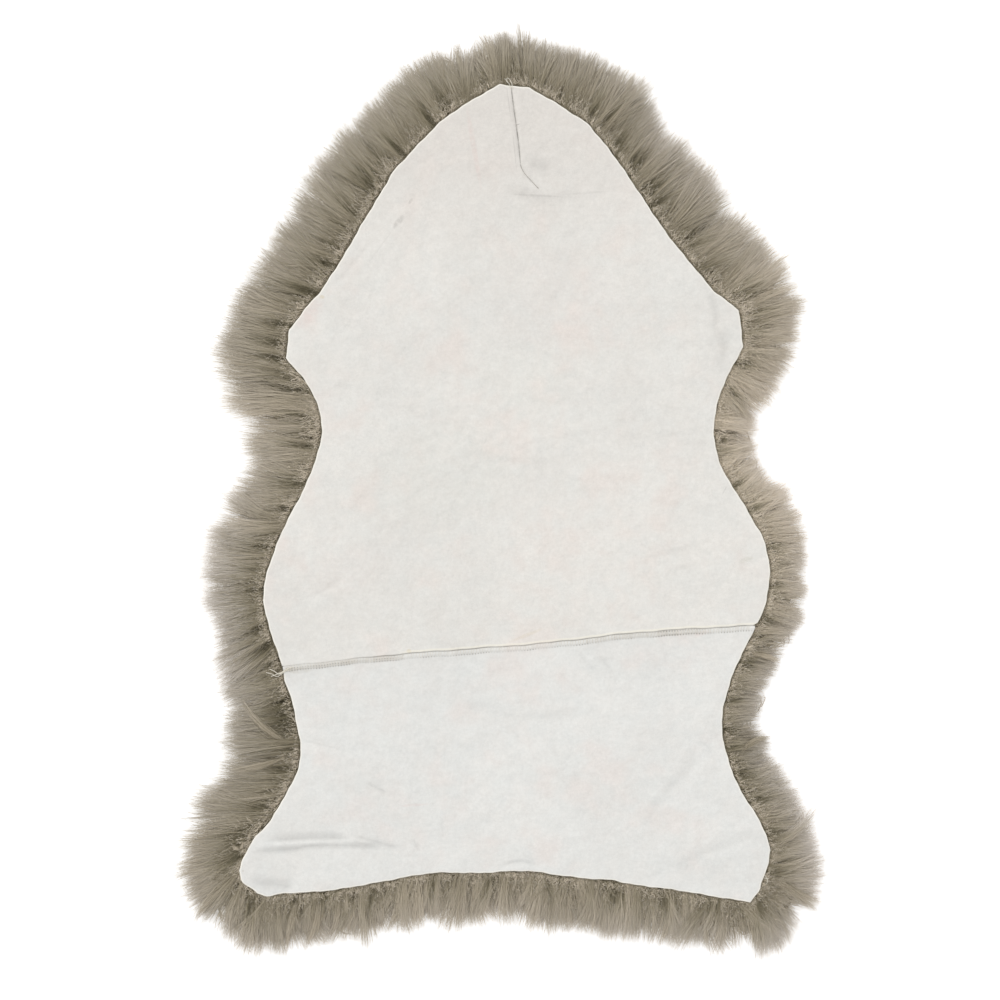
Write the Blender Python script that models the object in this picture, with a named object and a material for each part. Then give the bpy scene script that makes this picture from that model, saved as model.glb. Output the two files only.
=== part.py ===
"""Sheepskin rug lying flat, wool side down and leather side up.

Two panels of tanned skin meet at a cross seam: a large front panel, from the neck to the flanks, and a
smaller rear panel. The pile of each panel stands out past its cut edge all round, and carries the skin
clear of the floor. Run it with: blender --background --python part.py

Lengths in the tables are millimetres, with x to the right and y towards the neck. The finished rug's
origin is on the floor, under the middle of its footprint.
"""

import math
from collections import namedtuple

import bmesh
import bpy
from mathutils import Vector
from mathutils.geometry import delaunay_2d_cdt, interpolate_bezier

MM = 0.001

FOOTPRINT_MIDDLE = (-2.0, 5.0)  # of the pile, in the tables' x and y

SKIN_THICKNESS = 2.0
PILE_DEPTH = 28.0  # the pile under the skin, pressed flat by its own weight
SEAT_GAP = 0.3  # between the leather and the pile, and across the seam

STATION_STEP = 14.0  # along the cut edge and along the seam
SKIN_GRID = 23.0
BASE_GRID = 60.0
EDGE_CLEARANCE = 0.45  # of a grid step, kept free of grid points along an edge
CURVE_SAMPLES = 24  # of each stretch between two marks, before it is cut into even steps

SEAM_RISE = 1.3
SEAM_HALF_WIDTH = 7.0
SEAM_ROWS = (-7.0, -3.0, 3.0, 7.0)  # rows of points beside the seam, which give its ridge a shape

FAN_STATIONS = 3  # the stations on each side that a lock's direction is averaged over
FAN_PASSES = 3

SHARP_ANGLE = 50.0  # degrees between two faces, past which their edge is drawn sharp
INSIDE_ONLY = 1  # the triangulation's output type that leaves out what lies outside the loop
MERGE_DISTANCE = 1e-6

# The cut edge, clockwise from the left end of the seam. A corner is a sharp bend of the knife's cut, and
# reach is how far the pile stands out past the leather there.
Mark = namedtuple("Mark", "name x y corner reach")
EDGE = (
    Mark("seam_left", -220, -171, False, 60),
    Mark("left_flank_low", -236, -122, False, 52),
    Mark("left_flank", -239, -90, False, 64),
    Mark("left_flank_high", -225, -43, False, 60),
    Mark("left_waist_low", -195, 19, False, 56),
    Mark("left_waist", -181, 68, False, 74),
    Mark("left_waist_high", -193, 109, False, 77),
    Mark("left_elbow_low", -217, 140, True, 67),
    Mark("left_elbow_high", -214, 168, True, 66),
    Mark("left_shoulder", -168, 229, False, 70),
    Mark("left_neck_low", -132, 289, False, 71),
    Mark("left_neck_bend", -110, 326, True, 68),
    Mark("left_neck", -64, 375, False, 61),
    Mark("left_neck_high", -43, 390, False, 72),
    Mark("left_neck_top", -24, 402, False, 44),
    Mark("neck_left", -3, 414, True, 47),
    Mark("neck_right", 26, 410, True, 52),
    Mark("right_neck_high", 58, 392, False, 62),
    Mark("right_neck_bend", 85, 374, True, 67),
    Mark("right_neck", 117, 334, False, 64),
    Mark("right_neck_low", 157, 274, False, 72),
    Mark("right_shoulder", 197, 223, False, 70),
    Mark("right_elbow_high", 211, 207, True, 73),
    Mark("right_elbow", 236, 188, True, 68),
    Mark("right_elbow_low", 240, 151, True, 55),
    Mark("right_waist_high", 217, 103, False, 53),
    Mark("right_waist", 211, 66, False, 36),
    Mark("right_waist_low", 220, 28, False, 35),
    Mark("right_flank_high", 245, -14, False, 49),
    Mark("right_flank", 266, -68, False, 39),
    Mark("right_flank_low", 261, -112, False, 42),
    Mark("seam_right", 252, -130, False, 41),
    Mark("right_rump_high", 228, -182, False, 36),
    Mark("right_rump", 219, -227, False, 37),
    Mark("right_rump_low", 233, -283, False, 46),
    Mark("right_haunch", 257, -323, False, 47),
    Mark("right_haunch_low", 267, -352, False, 47),
    Mark("right_corner_high", 262, -375, False, 68),
    Mark("right_corner", 247, -404, True, 52),
    Mark("tail_right", 158, -390, False, 54),
    Mark("tail_fold", 56, -377, False, 58),
    Mark("tail", 25, -373, False, 50),
    Mark("tail_left", -70, -375, False, 50),
    Mark("tail_far_left", -163, -391, False, 47),
    Mark("left_corner_low", -227, -396, True, 64),
    Mark("left_corner", -246, -395, False, 57),
    Mark("left_corner_high", -263, -372, True, 61),
    Mark("left_haunch_low", -250, -341, False, 72),
    Mark("left_haunch", -220, -301, False, 63),
    Mark("left_rump_low", -203, -261, False, 74),
    Mark("left_rump", -207, -222, False, 69),
)

# The cross seam, from its left end to its right end.
SeamMark = namedtuple("SeamMark", "x y")
SEAM = (
    SeamMark(-220, -171),
    SeamMark(-103, -159),
    SeamMark(40, -148),
    SeamMark(139, -137),
    SeamMark(252, -130),
)

# The pile's section from the cut edge to the floor, as shares of its reach and of the skin's height there.
Ring = namedtuple("Ring", "out height")
PILE_SECTION = (
    Ring(0.00, 1.00),
    Ring(0.18, 0.96),
    Ring(0.44, 0.82),
    Ring(0.72, 0.55),
    Ring(0.93, 0.26),
    Ring(1.00, 0.10),
    Ring(0.92, 0.00),
)

# Waves that part the pile's rim into tufts: how far each one moves the tips, out and up.
Wave = namedtuple("Wave", "pitch reach height")
TUFT_WAVES = (
    Wave(97.0, 2.4, 1.0),
    Wave(53.0, 2.8, 1.4),
)

# Soft rises and hollows of the leather. A negative rise is a trough, and turn is its long axis in degrees.
Swell = namedtuple("Swell", "name x y half_length half_width turn rise")
SWELLS = (
    Swell("neck_dart", 13, 372, 38, 2.5, -83, -1.0),
    Swell("dart_dimple", 37, 333, 15, 8, 0, -1.4),
    Swell("smile_crease", 40, 304, 36, 5, -4, 1.0),
    Swell("neck_ridge", -118, 262, 50, 16, 57, 1.4),
    Swell("chest", -50, 200, 110, 80, 20, 1.6),
    Swell("right_elbow_trough", 222, 160, 48, 11, 76, -1.5),
    Swell("right_elbow_ridge", 196, 170, 52, 12, 72, 1.2),
    Swell("belly", 55, 70, 130, 90, -15, -1.6),
    Swell("left_flank", -160, -60, 75, 45, 20, 1.6),
    Swell("left_flank_fold", -178, -92, 26, 6, 24, -1.0),
    Swell("right_flank", 185, -62, 70, 50, -10, 1.4),
    Swell("seam_pucker", 106, -166, 15, 6, -52, -1.0),
    Swell("rump", -10, -262, 120, 60, 5, 1.5),
    Swell("right_rump_fold", 140, -292, 52, 12, 40, -1.2),
    Swell("right_haunch_fold", 190, -350, 72, 14, 24, 1.4),
    Swell("left_haunch_trough", -200, -341, 52, 5, 0, -1.6),
    Swell("left_haunch_fold", -165, -353, 66, 5, 3, -1.4),
    Swell("left_corner_fold", -231, -385, 17, 6, 3, -1.0),
    Swell("tail_pucker", 18, -364, 17, 5, 0, -1.1),
)
NARROW_SWELL = 9.0  # a swell thinner than this gets rows of points of its own
SWELL_POINT_STEP = 13.0
SWELL_ROWS = (-1.5, 0.0, 1.5)  # those rows, in half widths from its long axis
RELIEF_SPACING = 1.5  # the least distance between two points of those rows, or from one to an edge
RELIEF_CLEARANCE = 8.0  # kept free of grid points around them

SKIN_FRONT_COLOUR = (0.78, 0.74, 0.69)
SKIN_REAR_COLOUR = (0.77, 0.76, 0.72)
SKIN_ROUGHNESS = 0.75
FLEECE_COLOUR = (0.25, 0.21, 0.16)
FLEECE_ROUGHNESS = 0.95

Station = namedtuple("Station", "point out reach lift")


def smooth_stretch(before, start, end, after, start_corner, end_corner):
    """Points of the curve from start to end, which passes smoothly through both unless one is a corner."""
    length = (end - start).length
    leaving = end - start if start_corner else end - before
    arriving = end - start if end_corner else after - start
    start_handle = start + leaving.normalized() * length / 3
    end_handle = end - arriving.normalized() * length / 3
    return interpolate_bezier(start, start_handle, end_handle, end, CURVE_SAMPLES)


def even_steps(points, step):
    """Points a near-equal step apart along a chain, without its end, each with its share of the way."""
    lengths = [0.0]
    for a, b in zip(points, points[1:]):
        lengths.append(lengths[-1] + (b - a).length)
    count = max(1, round(lengths[-1] / step))
    found = []
    segment = 0
    for i in range(count):
        along = lengths[-1] * i / count
        while lengths[segment + 1] < along:
            segment += 1
        share = (along - lengths[segment]) / (lengths[segment + 1] - lengths[segment])
        found.append((points[segment].lerp(points[segment + 1], share), i / count))
    return found


def seam_line():
    """Even points of the seam from left to right, both ends included."""
    marks = [Vector((m.x, m.y, 0)) for m in SEAM]
    points = []
    for i in range(len(marks) - 1):
        before = marks[max(i - 1, 0)]
        after = marks[min(i + 2, len(marks) - 1)]
        stretch = smooth_stretch(before, marks[i], marks[i + 1], after, i == 0, i + 2 == len(marks))
        points += [point for point, _ in even_steps(stretch, STATION_STEP)]
    return points + [marks[-1]]


def seam_distance(x, y):
    """How far (x, y) lies above the seam."""
    for a, b in zip(SEAM_LINE, SEAM_LINE[1:]):
        if x <= b.x:
            break
    share = min(max((x - a.x) / (b.x - a.x), 0.0), 1.0)
    return y - (a.y + (b.y - a.y) * share)


def fan_out(points, pinned):
    """The direction in which the pile leaves each point of the cut edge: the outward normal, evened out."""
    count = len(points)
    fan = []
    for i in range(count):
        along = points[(i + 1) % count] - points[i - 1]
        fan.append(Vector((-along.y, along.x, 0)).normalized())
    for _ in range(FAN_PASSES):
        evened = []
        for i in range(count):
            near = [fan[(i + k) % count] for k in range(-FAN_STATIONS, FAN_STATIONS + 1)]
            evened.append(sum(near, Vector()).normalized())
        for i, direction in pinned.items():
            evened[i] = direction
        fan = evened
    return fan


def cut_edge():
    """The stations of the cut edge as two runs that share their ends: over the neck, and round the tail."""
    count = len(EDGE)
    marks = [Vector((m.x, m.y, 0)) for m in EDGE]
    points = []
    reaches = []
    at_mark = {}
    for i, mark in enumerate(EDGE):
        j = (i + 1) % count
        after = EDGE[j]
        beyond = marks[(i + 2) % count]
        stretch = smooth_stretch(marks[i - 1], marks[i], marks[j], beyond, mark.corner, after.corner)
        at_mark[mark.name] = len(points)
        for point, share in even_steps(stretch, STATION_STEP):
            ease = (1 - math.cos(math.pi * share)) / 2
            points.append(point)
            reaches.append(mark.reach + (after.reach - mark.reach) * ease)
    left = at_mark["seam_left"]
    right = at_mark["seam_right"]
    pinned = {
        left: (SEAM_LINE[0] - SEAM_LINE[1]).normalized(),
        right: (SEAM_LINE[-1] - SEAM_LINE[-2]).normalized(),
    }
    stations = []
    along = 0.0
    for i, out in enumerate(fan_out(points, pinned)):
        waves = [math.sin(2 * math.pi * along / wave.pitch) for wave in TUFT_WAVES]
        reach = reaches[i] + sum(w * wave.reach for w, wave in zip(waves, TUFT_WAVES))
        lift = sum(w * wave.height for w, wave in zip(waves, TUFT_WAVES))
        stations.append(Station(points[i], out, reach, lift))
        along += (points[(i + 1) % len(points)] - points[i]).length
    return stations[left : right + 1], stations[right:] + [stations[left]]


def skin_top(x, y):
    """The height of the leather's upper face, with its swells and the ridge along the seam."""
    height = PILE_DEPTH + SEAT_GAP + SKIN_THICKNESS
    for swell in SWELLS:
        turn = math.radians(swell.turn)
        along = (x - swell.x) * math.cos(turn) + (y - swell.y) * math.sin(turn)
        across = (y - swell.y) * math.cos(turn) - (x - swell.x) * math.sin(turn)
        spread = (along / swell.half_length) ** 2 + (across / swell.half_width) ** 2
        height += swell.rise * math.exp(-spread)
    beside = min(abs(seam_distance(x, y)) / SEAM_HALF_WIDTH, 1.0)
    return height + SEAM_RISE * (1 - beside**2) ** 2


def inside(point, loop):
    crossed = False
    for a, b in zip(loop, loop[1:] + loop[:1]):
        if (a.y > point.y) != (b.y > point.y):
            crossed ^= point.x < a.x + (b.x - a.x) * (point.y - a.y) / (b.y - a.y)
    return crossed


def clearance(point, loop):
    """The distance from a point to the nearest edge of a loop."""
    nearest = math.inf
    for a, b in zip(loop, loop[1:] + loop[:1]):
        edge = b - a
        share = min(max((point - a).dot(edge) / edge.length_squared, 0.0), 1.0)
        nearest = min(nearest, (point - a - edge * share).length)
    return nearest


def grid_points(loop, step):
    """Points of a triangular grid inside a loop, clear of its edge."""
    row_step = step * math.sqrt(3) / 2
    low = Vector((min(p.x for p in loop), min(p.y for p in loop), 0))
    high = Vector((max(p.x for p in loop), max(p.y for p in loop), 0))
    found = []
    for row in range(int((high.y - low.y) / row_step) + 1):
        for column in range(int((high.x - low.x) / step) + 1):
            point = low + Vector(((column + row % 2 / 2) * step, row * row_step, 0))
            if inside(point, loop) and clearance(point, loop) > step * EDGE_CLEARANCE:
                found.append(point)
    return found


def relief_points(loop):
    """Rows of points beside the seam and along each narrow swell, so that their shapes show."""
    found = []
    for start in SEAM_LINE[1:-1]:
        found += [start + Vector((0, row, 0)) for row in SEAM_ROWS]
    for swell in SWELLS:
        if swell.half_width > NARROW_SWELL:
            continue
        turn = math.radians(swell.turn)
        axis = Vector((math.cos(turn), math.sin(turn), 0))
        side = Vector((-axis.y, axis.x, 0))
        steps = max(1, round(swell.half_length / SWELL_POINT_STEP))
        for i in range(-steps, steps + 1):
            middle = Vector((swell.x, swell.y, 0)) + axis * (swell.half_length * i / steps)
            found += [middle + side * (row * swell.half_width) for row in SWELL_ROWS]
    kept = []
    for point in found:
        apart = all((point - other).length > RELIEF_SPACING for other in kept)
        if apart and inside(point, loop) and clearance(point, loop) > RELIEF_SPACING:
            kept.append(point)
    return kept


def skin_points(loop):
    relief = relief_points(loop)
    even = [
        point
        for point in grid_points(loop, SKIN_GRID)
        if all((point - other).length > RELIEF_CLEARANCE for other in relief)
    ]
    return relief + even


def triangulate(loop, inner):
    """The plan points, the loop's own first, and the triangles between them."""
    flat = [point.to_2d() for point in loop + inner]
    ring = list(range(len(loop)))
    made = delaunay_2d_cdt(flat, [], [ring], INSIDE_ONLY, MERGE_DISTANCE)
    return [Vector((p.x, p.y, 0)) for p in made[0]], made[2]


def finished(name, mesh, material):
    """The smooth-shaded object of a closed bmesh in the tables' millimetres."""
    bmesh.ops.recalc_face_normals(mesh, faces=mesh.faces[:])
    bmesh.ops.translate(mesh, vec=(-FOOTPRINT_MIDDLE[0], -FOOTPRINT_MIDDLE[1], 0), verts=mesh.verts[:])
    bmesh.ops.scale(mesh, vec=(MM, MM, MM), verts=mesh.verts[:])
    data = bpy.data.meshes.new(name)
    mesh.to_mesh(data)
    mesh.free()
    data.materials.append(material)
    data.shade_smooth()
    data.set_sharp_from_angle(angle=math.radians(SHARP_ANGLE))
    bpy.context.scene.collection.objects.link(bpy.data.objects.new(name, data))


def skin_panel(name, plan, triangles, material):
    """A sheet of leather: its upper face, the same face lower down, and the cut edge between them."""
    mesh = bmesh.new()
    verts = [mesh.verts.new((p.x, p.y, skin_top(p.x, p.y))) for p in plan]
    for triangle in triangles:
        mesh.faces.new([verts[i] for i in triangle])
    lower = bmesh.ops.extrude_face_region(mesh, geom=mesh.faces[:], use_keep_orig=True)
    moved = [item for item in lower["geom"] if isinstance(item, bmesh.types.BMVert)]
    bmesh.ops.translate(mesh, vec=(0, 0, -SKIN_THICKNESS), verts=moved)
    finished(name, mesh, material)


def pile_column(station, top):
    """The pile's section at a station of the cut edge, from below the leather's edge to the floor."""
    column = []
    for ring in PILE_SECTION[1:]:
        point = station.point + station.out * (station.reach * ring.out)
        column.append(Vector((point.x, point.y, ring.height * (top + station.lift))))
    return column


def seam_column(point, top):
    """The pile's parting under a point of the seam, straight down to the floor."""
    last = len(PILE_SECTION) - 1
    return [Vector((point.x, point.y, top * (1 - i / last))) for i in range(1, last + 1)]


def fleece_panel(name, run, plan, triangles, material):
    """The pile of one panel: it fills the space under the leather, spreads past its edge and lies flat."""
    mesh = bmesh.new()
    under = [skin_top(p.x, p.y) - SKIN_THICKNESS - SEAT_GAP for p in plan]
    top = [mesh.verts.new((p.x, p.y, z)) for p, z in zip(plan, under)]
    for triangle in triangles:
        mesh.faces.new([top[i] for i in triangle])
    shapes = [pile_column(station, z) for station, z in zip(run, under)]
    loop_length = len(run) + len(SEAM_LINE) - 2
    shapes += [seam_column(plan[i], under[i]) for i in range(len(run), loop_length)]
    columns = []
    for start, shape in zip(top, shapes):
        columns.append([start] + [mesh.verts.new(point) for point in shape])
    for a, b in zip(columns, columns[1:] + columns[:1]):
        for k in range(len(PILE_SECTION) - 1):
            mesh.faces.new((a[k], b[k], b[k + 1], a[k + 1]))
    foot = [Vector((c[-1].co.x, c[-1].co.y, 0)) for c in columns]
    base_plan, base_triangles = triangulate(foot, grid_points(foot, BASE_GRID))
    base = [c[-1] for c in columns]
    base += [mesh.verts.new((p.x, p.y, 0)) for p in base_plan[len(foot) :]]
    for triangle in base_triangles:
        mesh.faces.new([base[i] for i in triangle])
    finished(name, mesh, material)


def finish_of(name, colour, roughness):
    material = bpy.data.materials.new(name)
    material.use_nodes = True
    shader = material.node_tree.nodes["Principled BSDF"]
    shader.inputs["Base Color"].default_value = (*colour, 1.0)
    shader.inputs["Roughness"].default_value = roughness
    shader.inputs["Metallic"].default_value = 0.0
    return material


def panel(which, run, seam_back, side, colour):
    """The leather and the pile of one panel. side is 1 above the seam and -1 below it."""
    gap = Vector((0, side * SEAT_GAP / 2, 0))
    run = [station._replace(point=station.point + gap) for station in run]
    loop = [station.point for station in run] + [point + gap for point in seam_back]
    plan, triangles = triangulate(loop, skin_points(loop))
    leather = finish_of(f"leather_{which}", colour, SKIN_ROUGHNESS)
    skin_panel(f"skin_{which}", plan, triangles, leather)
    wool = finish_of(f"wool_{which}", FLEECE_COLOUR, FLEECE_ROUGHNESS)
    fleece_panel(f"fleece_{which}", run, plan, triangles, wool)


for old in list(bpy.data.objects):
    bpy.data.objects.remove(old)

SEAM_LINE = seam_line()
neck_run, tail_run = cut_edge()
inner_seam = SEAM_LINE[1:-1]
panel("front", neck_run, inner_seam[::-1], 1, SKIN_FRONT_COLOUR)
panel("rear", tail_run, inner_seam, -1, SKIN_REAR_COLOUR)
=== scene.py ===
"""Sheepskin rug lying wool side down: two panels of tanned skin, their seam, and the pile all round.

Every place in the tables is in millimetres across and down from the far left corner of a metre-square
cutting mat that the rug lies on, with its neck away from the maker.
"""

import math
from collections import namedtuple

import bmesh
import bpy
import numpy as np
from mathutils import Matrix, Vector
from mathutils.geometry import delaunay_2d_cdt
from mathutils.kdtree import KDTree


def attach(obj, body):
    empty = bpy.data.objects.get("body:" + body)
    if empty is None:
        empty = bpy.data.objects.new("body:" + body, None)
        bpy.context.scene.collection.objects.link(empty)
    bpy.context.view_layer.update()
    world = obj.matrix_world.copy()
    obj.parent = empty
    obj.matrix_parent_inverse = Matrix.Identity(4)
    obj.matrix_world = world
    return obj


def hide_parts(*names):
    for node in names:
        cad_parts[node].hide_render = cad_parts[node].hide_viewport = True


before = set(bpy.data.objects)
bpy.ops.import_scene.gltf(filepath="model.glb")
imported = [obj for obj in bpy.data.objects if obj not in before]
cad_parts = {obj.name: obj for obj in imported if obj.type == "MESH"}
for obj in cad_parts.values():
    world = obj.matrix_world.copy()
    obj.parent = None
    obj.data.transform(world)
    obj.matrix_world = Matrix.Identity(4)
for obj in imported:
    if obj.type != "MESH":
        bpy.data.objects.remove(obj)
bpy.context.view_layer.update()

bl_info = {
    "name": "Sheepskin rug",
    "version": (1, 0, 0),
    "blender": (4, 5, 0),
    "location": "3D View > Sidebar > Sheepskin",
    "description": "Dresses a sheepskin rug: leather panels, seam, dart, and combed pile",
    "category": "Object",
}

MM = 0.001
MAT_ORIGIN = (501.0, 493.0)  # where the rug's own origin lies on the cutting mat
VIEW_CENTRE = (500.0, 500.0)  # what the camera looks straight down at, on the mat
VIEW_WIDTH = 1.0  # metres

BODY = "root"
LEATHER_UNDER = 26.0 * MM  # nothing of the pile stands higher than this under the skin
PILE_TOP = 29.3 * MM
FLOOR_CLEAR = 0.35 * MM  # between the floor and the edges of a strand
STRAND_CLEAR = 0.5 * MM  # between the floor and the middle of a strand
CUT_CORNER = 19.0  # degrees: from here up, a turn of the cut edge stays a corner
NO_CORNERS = 180.0
EDGE_POINTS = 2600  # round the cut edge, wherever the pile is measured
CURLY = (0.33, 0.37)  # metres from the origin towards the maker, over which the wool turns curly
SEAM_PITCH = 2.75  # mm from stitch to stitch
SEAM_BAND = 2.5  # mm from the seam's line to either side of its raised band

COLUMNS = 200  # strands' tones side by side on their map
SHADES = 4  # bands of the map, from wool in the open to the most shaded
MAP_END = 0.74  # how far along the map a strand reaches that doesn't fade; one that fades reaches 1
PIECE_TRIANGLES = 190_000  # wool of more triangles than this is split into pieces

# The pile's section from the cut edge to its rim, as shares of its reach and of its depth.
SECTION_OUT = (0.0, 0.18, 0.44, 0.72, 0.93, 1.0, 1.3)
SECTION_UP = (1.0, 0.96, 0.82, 0.55, 0.26, 0.13, 0.06)


def table(name, fields, *rows):
    """A table's rows, each with its values named by fields."""
    row_of = namedtuple(name, fields)
    return tuple(row_of(*row) for row in rows)


# Which way the pile is combed, all round the cut edge: 0 is to the right and 90 away from the maker.
COMBS = table(
    "Comb",
    "across down heading",
    (511, 86, 92), (485, 92, 100), (460, 106, 112), (430, 130, 124), (393, 172, 135),
    (371, 210, 140), (347, 250, 145), (313, 300, 158), (289, 331, 172), (286, 358, 172),
    (298, 375, 160), (315, 400, 168), (322, 430, 178), (315, 460, 180), (302, 490, 176),
    (288, 520, 176), (275, 550, 180), (266, 580, 182), (263, 605, 192), (267, 628, 207),
    (274, 645, 214), (283, 669, 206), (292, 700, 190), (301, 740, 182), (296, 775, 184),
    (277, 810, 188), (254, 838, 196), (240, 862, 218), (246, 882, 246), (275, 896, 262),
    (330, 893, 258), (400, 880, 257), (470, 873, 262), (540, 873, 266), (610, 880, 270),
    (680, 889, 272), (720, 896, 280), (747, 902, 304), (761, 890, 333), (768, 868, 352),
    (770, 848, 4), (755, 812, 8), (735, 780, 6), (724, 750, 2), (722, 720, 6), (731, 680, 12),
    (745, 645, 4), (762, 610, 356), (769, 580, 358), (765, 550, 4), (755, 520, 15), (737, 493, 32),
    (724, 472, 36), (715, 450, 16), (714, 428, 342), (719, 402, 322), (729, 375, 330),
    (743, 347, 352), (741, 325, 12), (737, 306, 24), (714, 291, 30), (690, 262, 36), (660, 223, 42),
    (633, 180, 47), (609, 145, 54), (585, 122, 64), (555, 104, 76), (530, 90, 86),
)

# How the pile ends, round the rug: tips is 0 for a soft blurred rim and 1 for locks drawn to points, pale
# is how light its wool is, and fade how much lighter it grows to the rim.
RIMS = table(
    "Rim",
    "across down tips pale fade",
    (511, 86, 0.80, 0.05, 0.20), (430, 130, 0.60, 0.06, 0.20), (371, 210, 0.50, 0.07, 0.25),
    (300, 320, 0.32, 0.12, 0.15), (298, 375, 0.25, 0.18, 0.15), (322, 430, 0.10, 0.33, 0.20),
    (302, 490, 0.10, 0.26, 0.45), (266, 580, 0.10, 0.03, 1.00), (270, 640, 0.15, 0.03, 0.85),
    (301, 740, 0.20, 0.02, 0.25), (254, 838, 0.35, 0.17, 0.20), (246, 882, 0.75, 0.19, 0.35),
    (400, 880, 0.85, 0.30, 0.20), (540, 873, 0.85, 0.30, 0.20), (720, 896, 0.90, 0.25, 0.45),
    (770, 848, 0.75, 0.21, 1.00), (724, 750, 0.60, 0.11, 0.60), (745, 645, 0.60, 0.28, 0.50),
    (769, 580, 0.45, 0.46, 0.60), (740, 497, 0.35, 0.66, 0.60), (714, 428, 0.35, 0.69, 0.50),
    (739, 330, 0.70, 0.44, 0.15), (690, 262, 0.50, 0.17, 0.40), (633, 180, 0.55, 0.10, 0.60),
    (585, 122, 0.75, 0.06, 0.30),
)

# Dark partings between locks, each from its root to where it closes.
PARTINGS = table(
    "Parting",
    "across down to_across to_down width",
    (373, 187, 358, 180, 3.0), (434, 125, 423, 110, 3.0), (332, 242, 308, 236, 3.0),
    (332, 265, 319, 262, 3.5), (447, 102, 433, 84, 3.0), (405, 155, 388, 141, 2.5),
    (355, 213, 340, 205, 2.5), (334, 266, 321, 261, 2.5), (317, 293, 285, 285, 3.5),
    (288, 325, 254, 320, 3.5), (276, 344, 245, 334, 3.5), (281, 358, 254, 355, 3.0),
    (308, 392, 291, 389, 2.5), (309, 446, 278, 443, 3.0), (301, 485, 278, 481, 3.0),
    (292, 510, 276, 509, 2.5), (268, 547, 247, 546, 2.5), (258, 590, 236, 592, 2.5),
    (260, 627, 237, 640, 4.0), (269, 645, 247, 661, 4.0), (284, 700, 256, 712, 3.5),
    (290, 731, 262, 728, 3.5), (287, 768, 258, 772, 3.0), (262, 806, 236, 812, 3.0),
    (240, 836, 204, 842, 4.0), (238, 858, 202, 868, 4.0), (252, 900, 243, 930, 3.5),
    (296, 902, 288, 930, 3.0), (322, 905, 314, 936, 3.0), (372, 895, 366, 926, 3.0),
    (432, 890, 425, 920, 3.0), (486, 886, 482, 912, 3.0), (548, 886, 549, 914, 3.0),
    (616, 893, 611, 917, 4.0), (664, 902, 668, 930, 3.0), (716, 908, 719, 924, 2.5),
    (762, 905, 770, 941, 3.0), (778, 872, 806, 876, 3.0), (777, 832, 806, 828, 3.0),
    (757, 799, 786, 797, 3.0), (738, 773, 768, 777, 3.5), (724, 730, 746, 730, 3.5),
    (737, 700, 757, 697, 3.0), (752, 664, 770, 660, 3.5), (764, 618, 785, 627, 3.5),
    (775, 585, 797, 587, 2.5), (771, 548, 795, 543, 2.5), (757, 508, 775, 500, 3.0),
    (738, 484, 752, 472, 3.0), (722, 440, 737, 440, 3.0), (735, 394, 752, 408, 3.0),
    (736, 365, 762, 361, 3.0), (762, 330, 786, 321, 3.5), (751, 326, 760, 321, 3.0),
    (764, 297, 780, 292, 3.0), (747, 290, 766, 281, 3.5), (712, 262, 721, 257, 3.0),
    (690, 236, 706, 222, 2.5), (652, 205, 670, 195, 3.0), (656, 186, 672, 174, 3.0),
    (634, 162, 653, 150, 5.0), (617, 143, 633, 131, 3.5), (590, 118, 600, 100, 2.5),
    (560, 98, 566, 80, 1.6), (484, 84, 481, 62, 1.3),
)

# Hollows, where the pile lies open and deep in shade: their middle, half their length and width, the
# heading of their length in degrees, and how deep the shade is.
HOLLOWS = table(
    "Hollow",
    "across down half_length half_width heading shade",
    (275, 717, 18, 11, -48, 1.7), (251, 605, 52, 9, 90, 0.42), (260, 651, 12, 3.5, 35, 1.0),
    (253, 633, 10, 3, 15, 0.8), (253, 661, 11, 3, 18, 0.8), (258, 680, 16, 5, 8, 0.6),
    (246, 570, 18, 4, 4, 0.6), (262, 706, 8, 4, -50, 0.7), (221, 848, 16, 16, 90, 1.15),
    (211, 838, 11, 7, 20, 0.9), (641, 158, 11, 6, 40, 0.95), (312, 252, 14, 4, 0, 0.5),
    (322, 884, 14, 5, 0, 0.6), (318, 912, 9, 7, 0, 0.6), (752, 664, 8, 5, 0, 0.6),
    (740, 909, 9, 3.5, 8, 0.8), (754, 914, 9, 3, 20, 0.7),
)

# Where the cut edge strays from a smooth line: a place on it, how far it is moved, and over what reach.
TRIMS = table(
    "Trim",
    "across down right low reach",
    (246, 880, -3.4, 2.6, 8), (268, 893, 0.5, 3.0, 7), (243, 858, -1.8, 0.0, 8),
    (267, 822, 2.6, 1.2, 15), (285, 682, -2.4, 0.4, 7), (760, 537, 2.8, 0.0, 19),
    (758, 891, 3.0, 1.0, 9), (477, 870, 0.0, 2.0, 30), (613, 880, 0.0, -1.8, 10),
    (320, 289, 1.2, 1.0, 14),
)

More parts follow.
